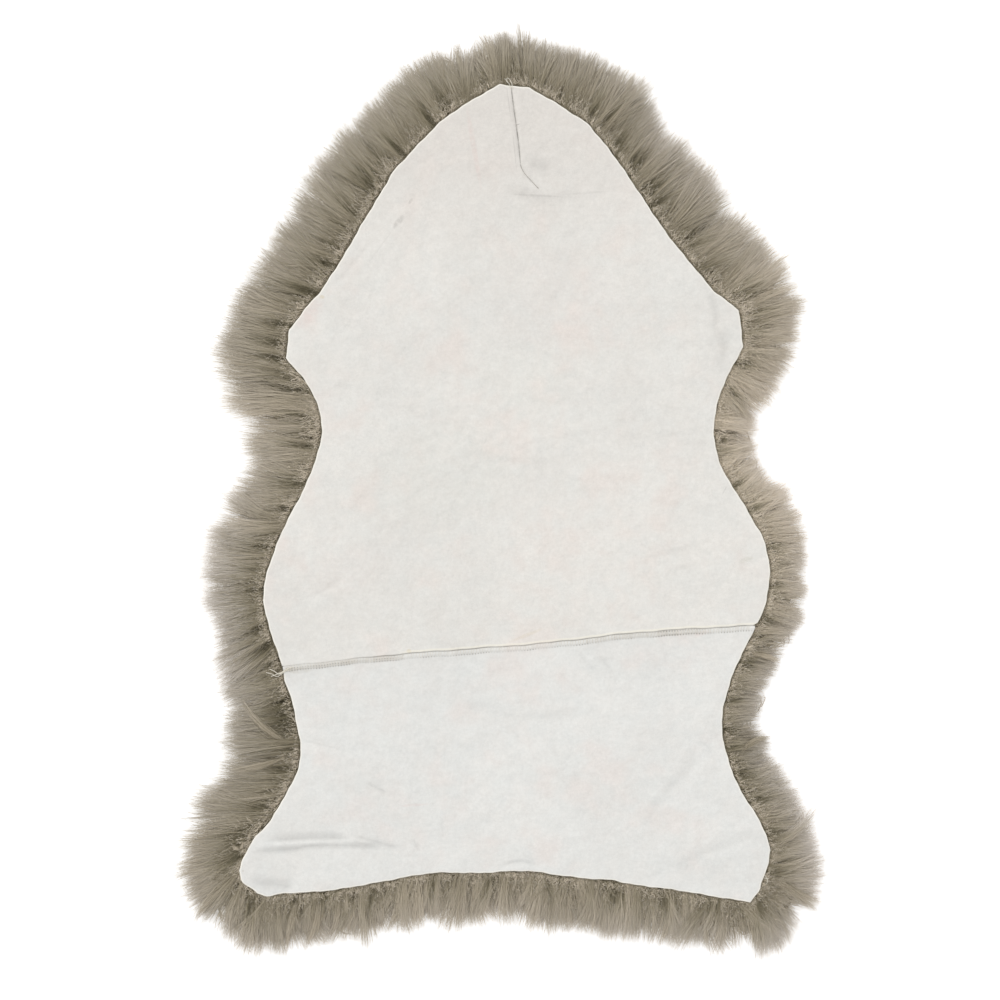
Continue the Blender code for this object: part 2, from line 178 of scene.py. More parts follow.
# Single locks that stand out from the rest, from root to tip. bend is how far the middle lies to the left
# of the straight line, as a share of its length, and pale how light the wool is.
LOCKS = table(
    "Lock",
    "across down to_across to_down width bend pale lift",
    (418, 140, 384, 88, 12, -0.05, 0.15, 0.9), (402, 160, 363, 99, 12, 0.04, 0.15, 0.9),
    (392, 176, 353, 116, 13, -0.04, 0.15, 0.9), (378, 196, 332, 137, 13, 0.05, 0.15, 0.9),
    (434, 128, 404, 75, 12, 0.03, 0.15, 0.9), (440, 121, 417, 61, 11, -0.05, 0.15, 0.9),
    (455, 110, 438, 42, 11, 0.05, 0.15, 0.9), (465, 105, 452, 38, 10, -0.06, 0.15, 0.9),
    (495, 90, 499, 35, 10, 0.05, 0.15, 0.9), (512, 87, 516, 35, 10, -0.05, 0.15, 0.9),
    (526, 90, 535, 34, 10, 0.04, 0.15, 0.9), (543, 98, 559, 40, 11, -0.05, 0.15, 0.9),
    (560, 106, 582, 40, 11, 0.04, 0.15, 0.9), (572, 112, 597, 47, 11, -0.04, 0.15, 0.9),
    (583, 120, 610, 54, 11, 0.04, 0.15, 0.9), (600, 134, 638, 65, 13, -0.05, 0.15, 0.9),
    (742, 312, 807, 282, 12, 0.05, 0.46, 0.9), (742, 322, 806, 297, 11, -0.04, 0.46, 0.9),
    (742, 332, 809, 305, 11, 0.04, 0.46, 0.9), (743, 342, 803, 322, 11, -0.05, 0.46, 0.9),
    (743, 348, 802, 339, 10, 0.05, 0.46, 0.9), (740, 354, 792, 358, 11, -0.05, 0.46, 0.9),
    (724, 395, 754, 432, 12, 0.08, 0.46, 0.9), (765, 868, 831, 909, 13, -0.06, 0.30, 0.9),
    (766, 876, 824, 919, 12, 0.05, 0.28, 0.9), (745, 904, 757, 956, 12, 0.04, 0.30, 0.9),
    (765, 884, 798, 913, 14, -0.03, 0.24, 0.9), (764, 890, 792, 922, 13, 0.04, 0.24, 0.9),
    (752, 902, 772, 947, 14, 0.03, 0.26, 0.9), (741, 902, 749, 947, 14, -0.03, 0.26, 0.9),
    (735, 900, 740, 944, 14, 0.05, 0.26, 0.9), (728, 899, 731, 944, 14, -0.03, 0.26, 0.9),
    (720, 897, 722, 948, 14, 0.03, 0.26, 0.9), (706, 894, 709, 956, 12, -0.04, 0.30, 0.9),
    (672, 889, 658, 952, 12, 0.05, 0.30, 0.9), (630, 884, 616, 940, 12, -0.05, 0.30, 0.9),
    (598, 879, 589, 943, 12, 0.04, 0.30, 0.9), (574, 877, 571, 936, 11, -0.05, 0.30, 0.9),
    (545, 875, 540, 927, 12, 0.05, 0.30, 0.9), (482, 874, 470, 926, 12, -0.04, 0.30, 0.9),
    (404, 882, 384, 939, 13, 0.06, 0.30, 0.9), (368, 888, 350, 934, 12, -0.06, 0.30, 0.9),
    (318, 896, 302, 956, 12, 0.06, 0.30, 0.9), (300, 897, 283, 962, 12, -0.05, 0.30, 0.9),
    (245, 876, 188, 930, 15, -0.10, 0.20, 0.9), (336, 893, 328, 943, 8, 0.10, 0.30, 0.9),
    (292, 744, 240, 695, 4, 0.09, 0.20, 1.06), (290, 748, 243, 722, 5, 0.10, 0.14, 1.04),
    (284, 742, 236, 690, 3, 0.08, 0.24, 1.05), (244, 842, 226, 849, 5, 0.32, 0.50, 1.04),
    (242, 851, 225, 859, 5, -0.34, 0.46, 1.04), (243, 861, 229, 871, 5, 0.34, 0.50, 1.04),
    (247, 872, 233, 881, 5, -0.30, 0.42, 1.04), (251, 832, 237, 838, 5, 0.30, 0.42, 1.04),
    (752, 654, 784, 664, 5, 0.06, 0.40, 1.0), (284, 758, 221, 775, 3, 0.03, 0.24, 1.03),
    (742, 750, 775, 737, 5, 0.10, 0.22, 1.03),
)


def on_mat(across, down):
    """Metres in the rug's frame for a place, or an array of places, on the cutting mat."""
    return np.stack(
        [
            (np.asarray(across, float) - MAT_ORIGIN[0]) * MM,
            (MAT_ORIGIN[1] - np.asarray(down, float)) * MM,
        ],
        axis=-1,
    )


def smooth(value, low=0.0, high=1.0):
    """0 below low, 1 above high, and an even S between them."""
    share = np.clip((value - low) / (high - low), 0.0, 1.0)
    return share * share * (3.0 - 2.0 * share)


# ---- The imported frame's outlines, which every piece is cut to ----


def joined_copy(node):
    """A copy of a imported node's mesh with its loose triangles joined."""
    shape = bmesh.new()
    shape.from_mesh(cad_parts[node].data)
    bmesh.ops.remove_doubles(shape, verts=shape.verts[:], dist=0.01 * MM)
    return shape


def in_order(edges):
    """The points along a chain of edges, or round a loop of them."""
    beside = {}
    for edge in edges:
        first, second = edge.verts
        beside.setdefault(first, []).append(second)
        beside.setdefault(second, []).append(first)
    ends = [vert for vert in beside if len(beside[vert]) == 1]
    line = [ends[0] if ends else next(iter(beside))]
    passed = {line[0]}
    while True:
        following = [vert for vert in beside[line[-1]] if vert not in passed]
        if not following:
            return np.array([vert.co[:] for vert in line])
        line.append(following[0])
        passed.add(following[0])


def turned_left(points):
    """A loop of points in anticlockwise order."""
    x, y = points[:, 0], points[:, 1]
    area = np.sum(x * np.roll(y, -1) - y * np.roll(x, -1))
    return points if area > 0 else points[::-1]


def skin_loop(node):
    """The upper edge of a skin panel, anticlockwise, and its upper face's points."""
    shape = joined_copy(node)
    face_up, wall = 0.5, 0.4
    rim = []
    for edge in shape.edges:
        slopes = [face.normal.z for face in edge.link_faces]
        if len(slopes) == 2 and max(slopes) > face_up and min(map(abs, slopes)) < wall:
            rim.append(edge)
    loop = turned_left(in_order(rim))
    tops = np.array(
        [v.co[:] for v in shape.verts if max(f.normal.z for f in v.link_faces) > face_up]
    )
    shape.free()
    return loop, tops


def pile_rim(node):
    """The outermost line of a fleece panel, from one end of the seam to the other."""
    shape = joined_copy(node)
    low, high = 1.5 * MM, 4.0 * MM
    line = in_order([e for e in shape.edges if all(low < v.co.z < high for v in e.verts)])
    shape.free()
    return line


def outer_run(loop, other):
    """The part of a panel's loop that isn't sewn to the other panel, with both ends of the seam."""
    apart = np.linalg.norm(loop[:, None, :2] - other[None, :, :2], axis=2).min(axis=1)
    sewn = apart < 1.0 * MM
    start = next(i for i in range(len(loop)) if sewn[i] and not sewn[(i + 1) % len(loop)])
    rolled = np.roll(loop, -start, axis=0)
    count = 1 + int(np.argmax(np.roll(sewn, -start)[1:]))
    return rolled[: count + 1], np.roll(rolled, -count, axis=0)[: len(loop) - count + 1]


def softened(points, corner_angle, step, closed=True):
    """A line bent smoothly through its points, with its sharp corners kept, and which are corners."""
    before = np.roll(points, 1, axis=0)
    after = np.roll(points, -1, axis=0)
    came, goes = points - before, after - points
    turn = np.degrees(
        np.arctan2(
            came[:, 0] * goes[:, 1] - came[:, 1] * goes[:, 0], (came * goes).sum(axis=1)
        )
    )
    corner = np.abs(turn) > corner_angle
    if not closed:
        corner[0] = corner[-1] = True
    lengths = np.linalg.norm(goes, axis=1)
    middle = (after - before) / (lengths + np.roll(lengths, 1))[:, None]
    line, sharp = [], []
    last = len(points) if closed else len(points) - 1
    for i in range(last):
        j = (i + 1) % len(points)
        chord = goes[i]
        leave = chord if corner[i] else middle[i] * lengths[i]
        arrive = chord if corner[j] else middle[j] * lengths[i]
        parts = max(1, round(lengths[i] / step))
        for k in range(parts):
            t = k / parts
            line.append(
                (2 * t**3 - 3 * t**2 + 1) * points[i]
                + (t**3 - 2 * t**2 + t) * leave
                + (3 * t**2 - 2 * t**3) * points[j]
                + (t**3 - t**2) * arrive
            )
            sharp.append(corner[i] and k == 0)
    if not closed:
        line.append(points[-1])
        sharp.append(True)
    return np.array(line), np.array(sharp)


def evenly(points, count):
    """A closed loop cut into equal steps, with the length of a step."""
    closed = np.vstack([points, points[:1]])
    along = np.concatenate([[0], np.cumsum(np.linalg.norm(np.diff(closed, axis=0), axis=1))])
    wanted = np.linspace(0, along[-1], count, endpoint=False)
    found = [np.interp(wanted, along, closed[:, axis]) for axis in range(points.shape[1])]
    return np.stack(found, axis=1), along[-1] / count


def round_average(values, reach):
    """A running mean round a loop."""
    weights = np.hanning(2 * reach + 3)[1:-1]
    weights /= weights.sum()
    padded = np.concatenate([values[-reach:], values, values[:reach]])
    if values.ndim == 1:
        return np.convolve(padded, weights, "valid")
    columns = [np.convolve(padded[:, i], weights, "valid") for i in range(values.shape[1])]
    return np.stack(columns, axis=1)


def round_the_edge(edge, rows, values):
    """Columns of values given at a table's places near a loop, filled in between them all round it."""
    places = on_mat(*np.array(rows)[:, :2].T)
    nearest = np.linalg.norm(places[:, None] - edge[None], axis=2).argmin(axis=1)
    order = np.argsort(nearest)
    values = values[order]
    at = nearest[order].astype(float)
    at = np.concatenate([[at[-1] - len(edge)], at, [at[0] + len(edge)]])
    values = np.concatenate([values[-1:], values, values[:1]])
    steps = np.arange(len(edge))
    return [np.interp(steps, at, column) for column in values.T]


def reach_along(edge, comb, rim):
    """How far the pile reaches from each point of the edge along its combing."""
    start, end = rim, np.roll(rim, -1, axis=0)
    side = end - start
    found = np.full(len(edge), np.inf)
    for i in range(len(edge)):
        apart = start - edge[i]
        across = comb[i, 0] * side[:, 1] - comb[i, 1] * side[:, 0]
        across = np.where(np.abs(across) < 1e-12, 1e-12, across)
        out = (apart[:, 0] * side[:, 1] - apart[:, 1] * side[:, 0]) / across
        share = (apart[:, 0] * comb[i, 1] - apart[:, 1] * comb[i, 0]) / across
        hits = out[(share >= 0) & (share <= 1) & (out > 5 * MM)]
        if len(hits):
            found[i] = hits.min()
    nearest = np.linalg.norm(edge[:, None] - rim[None], axis=2).min(axis=1)
    most_slant = 1.3  # no lock is longer than this many times the straight way to the rim
    return np.minimum(found, most_slant * nearest)


class Outline:
    """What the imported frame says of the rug's plan: cut edge, combing, reach, seam and surface."""

    def __init__(self):
        front_loop, front_tops = skin_loop("skin_front")
        rear_loop, rear_tops = skin_loop("skin_rear")
        front_run, front_seam = outer_run(front_loop, rear_loop)
        rear_run, _ = outer_run(rear_loop, front_loop)
        leftwards = front_seam[0, 0] > front_seam[-1, 0]
        self.seam = front_seam[::-1, :2] if leftwards else front_seam[:, :2]
        self.front_run = front_run[:, :2]
        self.rear_run = rear_run[:, :2]
        self.tops = np.vstack([front_tops, rear_tops])
        whole = np.vstack([front_run[:-1, :2], rear_run[:-1, :2]])
        line, _ = softened(whole, CUT_CORNER, 2.0 * MM)
        self.edge, self.step = evenly(line, EDGE_POINTS)
        front_rim, rear_rim = pile_rim("fleece_front"), pile_rim("fleece_rear")
        self.rim = self.joined_rim(front_rim[:, :2], rear_rim[:, :2])
        headings = np.radians([row.heading for row in COMBS])
        ways = np.stack([np.cos(headings), np.sin(headings)], axis=1)
        comb = np.stack(round_the_edge(self.edge, COMBS, ways), axis=1)
        self.comb = comb / np.linalg.norm(comb, axis=1)[:, None]
        self.reach = round_average(reach_along(self.edge, self.comb, self.rim), 6)
        self.tips, self.pale, self.fade = round_the_edge(self.edge, RIMS, np.array(RIMS)[:, 2:])

    @staticmethod
    def joined_rim(front, rear):
        """One anticlockwise loop from the two panels' rims."""
        if np.linalg.norm(front[-1] - rear[0]) > np.linalg.norm(front[-1] - rear[-1]):
            rear = rear[::-1]
        line, _ = softened(turned_left(np.vstack([front, rear])), 60.0, 4.0 * MM)
        return line


# ---- Materials ----


class Amount:
    """A number that varies over a surface, with ordinary arithmetic."""

    def __init__(self, finish, socket):
        self.finish = finish
        self.socket = socket

    def worked(self, operation, *values):
        """The outcome of one Math node."""
        node = self.finish.add("ShaderNodeMath", {"operation": operation}, dict(enumerate(values)))
        return Amount(self.finish, node.outputs[0])

    def __add__(self, other):
        return self.worked("ADD", self, other)

    def __radd__(self, other):
        return self.worked("ADD", other, self)

    def __sub__(self, other):
        return self.worked("SUBTRACT", self, other)

    def __rsub__(self, other):
        return self.worked("SUBTRACT", other, self)

    def __mul__(self, other):
        return self.worked("MULTIPLY", self, other)

    def __rmul__(self, other):
        return self.worked("MULTIPLY", other, self)

    def __truediv__(self, other):
        return self.worked("DIVIDE", self, other)

    def wave(self):
        """The sine of this amount, from 0 to 1."""
        return self.worked("SINE", self) * 0.5 + 0.5

    def size(self):
        """This amount without its sign."""
        return self.worked("ABSOLUTE", self)

    def least(self, other):
        """The smaller of two amounts."""
        return self.worked("MINIMUM", self, other)

    def most(self, other):
        """The larger of two amounts."""
        return self.worked("MAXIMUM", self, other)

    def ease(self, low, high):
        """0 at low, 1 at high, and an even S between them."""
        inputs = {"Value": self, "From Min": low, "From Max": high}
        node = self.finish.add("ShaderNodeMapRange", {"interpolation_type": "SMOOTHSTEP"}, inputs)
        return Amount(self.finish, node.outputs["Result"])


class Finish:
    """One material and the nodes that make it."""

    def __init__(self, name):
        self.material = bpy.data.materials.new(name)
        self.material.use_nodes = True
        self.tree = self.material.node_tree
        self.tree.nodes.clear()

    def add(self, kind, settings=None, inputs=None):
        """One node: its kind, its settings, and what its sockets take."""
        node = self.tree.nodes.new(kind)
        for name, value in (settings or {}).items():
            setattr(node, name, value)
        for name, value in (inputs or {}).items():
            if isinstance(value, Amount):
                value = value.socket
            if isinstance(value, bpy.types.NodeSocket):
                self.tree.links.new(value, node.inputs[name])
            else:
                node.inputs[name].default_value = value
        return node

    def place(self):
        """Object coordinates, as the socket and as x, y and z in millimetres."""
        node = self.add("ShaderNodeTexCoord")
        parts = self.add("ShaderNodeSeparateXYZ", None, {0: node.outputs["Object"]})
        x, y, z = (Amount(self, parts.outputs[i]) * (1 / MM) for i in range(3))
        return node.outputs["Object"], x, y, z

    def own(self, name):
        """A value that is kept on the mesh itself."""
        node = self.add("ShaderNodeAttribute", {"attribute_name": name})
        return Amount(self, node.outputs["Fac"])

    def noise(self, vector, size, detail=3.0, roughness=0.5):
        """Soft random mottling, size metres across."""
        inputs = {"Vector": vector, "Scale": 1 / size, "Detail": detail, "Roughness": roughness}
        return Amount(self, self.add("ShaderNodeTexNoise", None, inputs).outputs[0])

    def mixed(self, share, first, second, how="MIX"):
        """Two colours mixed."""
        settings = {"data_type": "RGBA", "blend_type": how}
        return self.add("ShaderNodeMix", settings, {0: share, 6: first, 7: second}).outputs[2]

    def shaded(self, colour, *shares):
        """A colour with its red, green and blue each made darker by a share."""
        grey = self.add("ShaderNodeCombineColor", None, dict(enumerate(shares)))
        return self.mixed(1.0, colour, grey.outputs[0], "MULTIPLY")

    def bump(self, height, distance, under=None):
        """A normal raised by height, and by another bump under it."""
        inputs = {"Height": height, "Distance": distance, "Strength": 1.0}
        if under is not None:
            inputs["Normal"] = under
        return self.add("ShaderNodeBump", None, inputs).outputs["Normal"]

    def done(self, **sockets):
        """The material, with its surface's sockets set."""
        named = {name.replace("_", " "): value for name, value in sockets.items()}
        surface = self.add("ShaderNodeBsdfPrincipled", None, named)
        self.add("ShaderNodeOutputMaterial", None, {"Surface": surface.outputs[0]})
        return self.material


def tint(colour, factor=1.0):
    """A colour for a socket, made lighter or darker."""
    return (colour[0] * factor, colour[1] * factor, colour[2] * factor, 1.0)


# ---- Meshes ----


def shown(mesh, *materials):
    """A mesh's own object, named as it is, in the scene and riding on the rug's body."""
    for material in materials:
        mesh.materials.append(material)
    piece = bpy.data.objects.new(mesh.name, mesh)
    bpy.context.scene.collection.objects.link(piece)
    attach(piece, BODY)
    return piece


def triangle_mesh(name, points, triangles):
    """A smooth-shaded mesh from arrays of points and triangles."""
    mesh = bpy.data.meshes.new(name)
    mesh.vertices.add(len(points))
    mesh.vertices.foreach_set("co", np.ascontiguousarray(points, np.float32).ravel())
    mesh.loops.add(3 * len(triangles))
    mesh.loops.foreach_set("vertex_index", np.ascontiguousarray(triangles, np.int32).ravel())
    mesh.polygons.add(len(triangles))
    mesh.polygons.foreach_set("loop_start", np.arange(len(triangles), dtype=np.int32) * 3)
    mesh.polygons.foreach_set("use_smooth", np.ones(len(triangles), bool))
    mesh.update(calc_edges=True)
    return mesh


def strand_mesh(name, paths, widths, rolls, columns, ends):
    """Flat tapered strands in one mesh, each along its own path, ending in a point.

    The map OFBake has a strand's tone along u and its length along v, from its root to its end.
    """
    count, steps, _ = paths.shape
    ahead = np.gradient(paths, axis=1)
    ahead /= np.linalg.norm(ahead, axis=2)[..., None] + 1e-12
    side = np.cross(ahead, [0.0, 0.0, 1.0])
    side /= np.linalg.norm(side, axis=2)[..., None] + 1e-12
    upright = np.cross(side, ahead)
    roll = rolls[:, None, None]
    side = side * np.cos(roll) + upright * np.sin(roll)
    share = np.linspace(0, 1, steps)
    taper = (0.75 + 0.5 * share) * np.sqrt(np.clip(1 - share**3, 0, 1))
    half = 0.5 * widths[:, None, None] * taper[None, :, None]
    left = paths - side * half
    right = paths + side * half
    body = np.stack([left[:, :-1], right[:, :-1]], axis=2).reshape(count, -1, 3)
    points = np.concatenate([body, paths[:, -1:]], axis=1)
    points[..., 2] = np.maximum(points[..., 2], FLOOR_CLEAR)
    each = points.shape[1]
    rows = np.arange(steps - 2)
    first = 2 * rows[:, None] + [0, 1, 3]
    second = 2 * rows[:, None] + [0, 3, 2]
    tip = [each - 3, each - 2, each - 1]
    pattern = np.vstack([first, second, tip])
    triangles = (np.arange(count)[:, None, None] * each + pattern[None]).reshape(-1, 3)
    mesh = triangle_mesh(name, points.reshape(-1, 3), triangles)
    u = np.empty((count, each))
    u[:, 0:-1:2] = columns[:, None] - 0.5 / COLUMNS
    u[:, 1:-1:2] = columns[:, None] + 0.5 / COLUMNS
    u[:, -1] = columns
    v = np.append(np.repeat(share[:-1], 2), 1.0) * ends[:, None]
    places = np.stack([u, v], axis=2).reshape(-1, 2)
    layer = mesh.uv_layers.new(name="OFBake")
    layer.data.foreach_set("uv", places[triangles.ravel()].astype(np.float32).ravel())
    return mesh


def column_of(pale, depth=0.0):
    """Where on the strands' map wool of this paleness lies, at a depth of shade from 0 to 1."""
    band = np.clip(np.rint(np.asarray(depth) * (SHADES - 1)), 0, SHADES - 1)
    return (band + np.clip(pale, 0.03, 0.97)) / SHADES


def inside(points, loop):
    """Which points lie inside a loop."""
    x, y = points[:, 0, None], points[:, 1, None]
    x1, y1 = loop[None, :, 0], loop[None, :, 1]
    x2, y2 = np.roll(loop[:, 0], -1)[None], np.roll(loop[:, 1], -1)[None]
    spans = (y1 > y) != (y2 > y)
    crossing = x1 + (y - y1) * (x2 - x1) / np.where(y2 == y1, 1e-12, y2 - y1)
    return (spans & (x < crossing)).sum(axis=1) % 2 == 1


def tree_of(points):
    """A search tree over points of the plan."""
    tree = KDTree(len(points))
    for i, (x, y) in enumerate(points):
        tree.insert((x, y, 0.0), i)
    tree.balance()
    return tree


def nearest_in(tree, points):
    """Index of and distance to the nearest point of a tree, for each point."""
    found = [tree.find((x, y, 0.0)) for x, y in points]
    return np.array([f[1] for f in found]), np.array([f[2] for f in found])


def plan_of(loop, rows, spacing, rng):
    """A triangulated plan inside a loop, with rows of points of its own, and even points between."""
    low, high = loop.min(axis=0), loop.max(axis=0)
    across = np.arange(low[0], high[0], spacing)
    down = np.arange(low[1], high[1], spacing * 0.866)
    grid = np.stack(np.meshgrid(across, down), axis=-1)
    grid[1::2, :, 0] += spacing / 2
    grid = grid.reshape(-1, 2)
    grid += rng.uniform(-0.15, 0.15, grid.shape) * spacing
    grid = grid[inside(grid, loop)]
    rows = [r for r in rows if len(r)]
    near = tree_of(np.vstack([loop, *rows]))
    _, clear = nearest_in(near, grid)
    grid = grid[clear > 0.62 * spacing]
    places = np.vstack([loop, *rows, grid])
    kept = delaunay_2d_cdt(
        [Vector(p) for p in places], [], [list(range(len(loop)))], 1, 1e-7
    )
    points = np.array([p[:] for p in kept[0]])
    triangles = np.array([f[:] for f in kept[2]])
    a, b, c = (points[triangles[:, i]] for i in range(3))
    area = (b[:, 0] - a[:, 0]) * (c[:, 1] - a[:, 1]) - (b[:, 1] - a[:, 1]) * (c[:, 0] - a[:, 0])
    triangles[area < 0] = triangles[area < 0][:, ::-1]
    return points, triangles


# ---- Leather ----

# Troughs and ridges of the leather, each through the places given. A negative rise is a trough.
CREASES = table(
    "Crease",
    "rise width places",
    (-1.5, 1.0, ((511, 85), (513.5, 106), (516, 124), (518.5, 143), (520.5, 166))),
    (0.8, 2.2, ((507, 88), (509.5, 110), (513, 140), (516, 172))),
    (0.56, 2.0, ((516, 92), (519, 112), (521.5, 140), (525, 160))),
    (-0.80, 6.0, ((529, 161), (538, 166), (552, 168))),
    (-0.80, 3.6, ((505, 190), (522, 195.5), (545, 198), (566, 197), (582, 192))),
    (0.8, 4.0, ((500, 180), (520, 186), (545, 189))),
    (-0.8, 3.0, ((706, 290), (713, 303), (716, 318), (714, 336))),
    (0.96, 5.0, ((698, 300), (705, 320), (704, 345), (698, 372))),
    (-0.8, 4.0, ((722, 325), (724, 350), (718, 380))),
    (-0.64, 2.5, ((598, 654), (606, 664), (616, 677))),
    (-0.48, 2.5, ((578, 652), (588, 664), (598, 672))),
    (-0.5, 1.2, ((302, 740), (325, 746), (350, 752))),
    (-0.9, 1.5, ((366, 782), (376, 788), (388, 793))),
    (-1.9, 3.6, ((262, 841), (300, 838.5), (335, 838), (354, 840))),
    (-2.0, 3.2, ((249, 853), (272, 850.5), (292, 849), (313, 846), (350, 845.5), (398, 848))),
    (1.2, 3.4, ((256, 846.5), (290, 844), (330, 842.5), (368, 843))),
    (-0.9, 1.8, ((350, 835), (375, 842), (405, 849.5))),
    (-0.8, 1.4, ((413, 838), (416, 845), (420, 852))),
    (-1.5, 4.6, ((250, 880), (270, 884), (296, 886))),
    (-1.12, 2.0, ((501, 866), (512, 862.5), (524, 861.5), (538, 866))),
    (0.8, 3.0, ((500, 871), (520, 868), (540, 871))),
    (-0.56, 3.5, ((303, 602), (324, 590), (346, 575))),
    (0.64, 6.0, ((300, 604), (335, 594), (372, 580))),
    (-0.64, 5.0, ((699, 742), (680, 776), (655, 806), (636, 832))),
    (0.64, 6.0, ((707, 752), (692, 785), (668, 815))),
    (-0.64, 4.5, ((764, 829), (736, 842), (704, 853), (664, 870))),
    (0.64, 6.0, ((756, 842), (730, 855), (698, 866))),
    (-0.5, 1.4, ((700, 741), (707, 746), (712, 754))),
    (-0.48, 2.6, ((330, 290), (352, 264), (376, 236))),
    (0.64, 7.0, ((352, 280), (377, 250), (402, 214), (420, 180))),
    (-0.48, 6.0, ((455, 700), (520, 716), (590, 712))),
    (0.48, 8.0, ((350, 700), (430, 730), (500, 742))),
    (-0.48, 3.0, ((640, 560), (668, 552), (700, 545))),
    (0.48, 3.5, ((650, 574), (676, 566), (702, 562))),
)



def headed(line):
    """The direction of a line at each of its points."""
    ahead = np.gradient(line, axis=0)
    return ahead / np.linalg.norm(ahead, axis=1)[:, None]


def left_of(vectors):
    """Plan vectors turned a quarter to the left."""
    return np.stack([-vectors[:, 1], vectors[:, 0]], axis=1)


def lengths_along(line):
    """How far along a line each of its points is."""
    return np.concatenate([[0], np.cumsum(np.linalg.norm(np.diff(line, axis=0), axis=1))])


class Surface:
    """Heights of the leather's upper face over the plan, in metres."""

    def __init__(self, outline):
        line, _ = softened(outline.seam, NO_CORNERS, 1.0 * MM, closed=False)
        along = lengths_along(line)
        ends = smooth(along, 0, 20 * MM) * smooth(along[-1] - along, 0, 20 * MM)
        waver = 0.34 * np.sin(along / (10.4 * MM) + 0.7) + 0.20 * np.sin(along / (4.1 * MM) + 2.0)
        line = line + left_of(headed(line)) * (ends * waver * MM)[:, None]
        self.seam = line
        self.seam_tree = tree_of(line)
        self.seam_along = lengths_along(line)
        _, apart = nearest_in(self.seam_tree, outline.tops[:, :2])
        self.calm = outline.tops[apart > 9.5 * MM]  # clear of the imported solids' own seam
        self.creases = []
        for crease in CREASES:
            places = on_mat(*np.array(crease.places).T)
            self.creases.append((crease, softened(places, NO_CORNERS, 2.0 * MM, closed=False)[0]))

    def from_seam(self, points):
        """How far points lie along the seam, and across it towards the neck, in metres."""
        nearest, _ = nearest_in(self.seam_tree, points)
        apart = points - self.seam[nearest]
        ahead = headed(self.seam)[nearest]
        across = ahead[:, 0] * apart[:, 1] - ahead[:, 1] * apart[:, 0]
        along = self.seam_along[nearest] + (apart * ahead).sum(axis=1)
        return along, across

    def base(self, points):
        """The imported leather's height, smoothed between its points."""
        spread, batch = 9.0 * MM, 2000
        heights = []
        for start in range(0, len(points), batch):
            part = points[start : start + batch]
            apart = ((part[:, None] - self.calm[None, :, :2]) ** 2).sum(axis=2)
            weight = np.exp(-apart / (2 * spread**2)) + 1e-9
            heights.append((weight * self.calm[None, :, 2]).sum(axis=1) / weight.sum(axis=1))
        return np.concatenate(heights)

    def creased(self, points):
        """What the creases add."""
        added = np.zeros(len(points))
        for crease, line in self.creases:
            felt = 4 * crease.width * MM
            near = np.all(points > line.min(axis=0) - felt, axis=1)
            near &= np.all(points < line.max(axis=0) + felt, axis=1)
            spots = np.flatnonzero(near)
            if not len(spots):
                continue
            apart = np.linalg.norm(points[spots][:, None] - line[None], axis=2)
            nearest = apart.argmin(axis=1)
            share = nearest / (len(line) - 1)
            fade = smooth(share, -0.02, 0.25) * smooth(1 - share, -0.02, 0.25)
            away = apart.min(axis=1) / (crease.width * MM)
            added[spots] += crease.rise * MM * fade * np.exp(-(away**2))
        return added

    def band(self, points):
        """What the seam adds: a raised band with a sharp crease on the neck's side of it."""
        along, across = self.from_seam(points)
        across = across / MM
        along = along / MM
        waver = 0.35 * np.sin(along / 23.0) + 0.25 * np.sin(along / 9.1 + 1.0)
        rise = 0.60 * np.exp(-((across / 6.5) ** 2))
        bead = smooth(1.0 - np.abs(across + 0.1 * waver) / (SEAM_BAND + 0.9), 0.0, 0.75)
        rise += (0.75 + 0.12 * waver) * bead
        groove = 0.12 + 0.43 * smooth(along, 50.0, 105.0)
        rise -= groove * np.exp(-(((across - SEAM_BAND) / 0.75) ** 2))
        rise -= 0.30 * np.exp(-(((across + SEAM_BAND + 0.4) / 0.8) ** 2))
        lap = np.exp(-(((across + SEAM_BAND - 0.4) / 1.0) ** 2))
        rise += 0.16 * lap * np.cos(2 * math.pi * along / SEAM_PITCH)
        puckers = np.exp(-((np.abs(across) - 5.0) ** 2) / 14.0)
        rise += 0.10 * puckers * np.sin(along / 4.3) * np.sin(along / 11.0)
        return rise * MM

    def height(self, points):
        """The upper face's height at points of the plan."""
        return self.base(points) + self.creased(points) + self.band(points)


def offset_line(line, distance):
    """A line moved to its left by a distance."""
    return line + distance * left_of(headed(line))


def inset_loop(loop, distance):
    """An anticlockwise loop moved inwards, for a row of points beside the cut edge."""
    ahead = np.roll(loop, -1, axis=0) - np.roll(loop, 1, axis=0)
    ahead /= np.linalg.norm(ahead, axis=1)[:, None]
    return loop + distance * left_of(ahead)


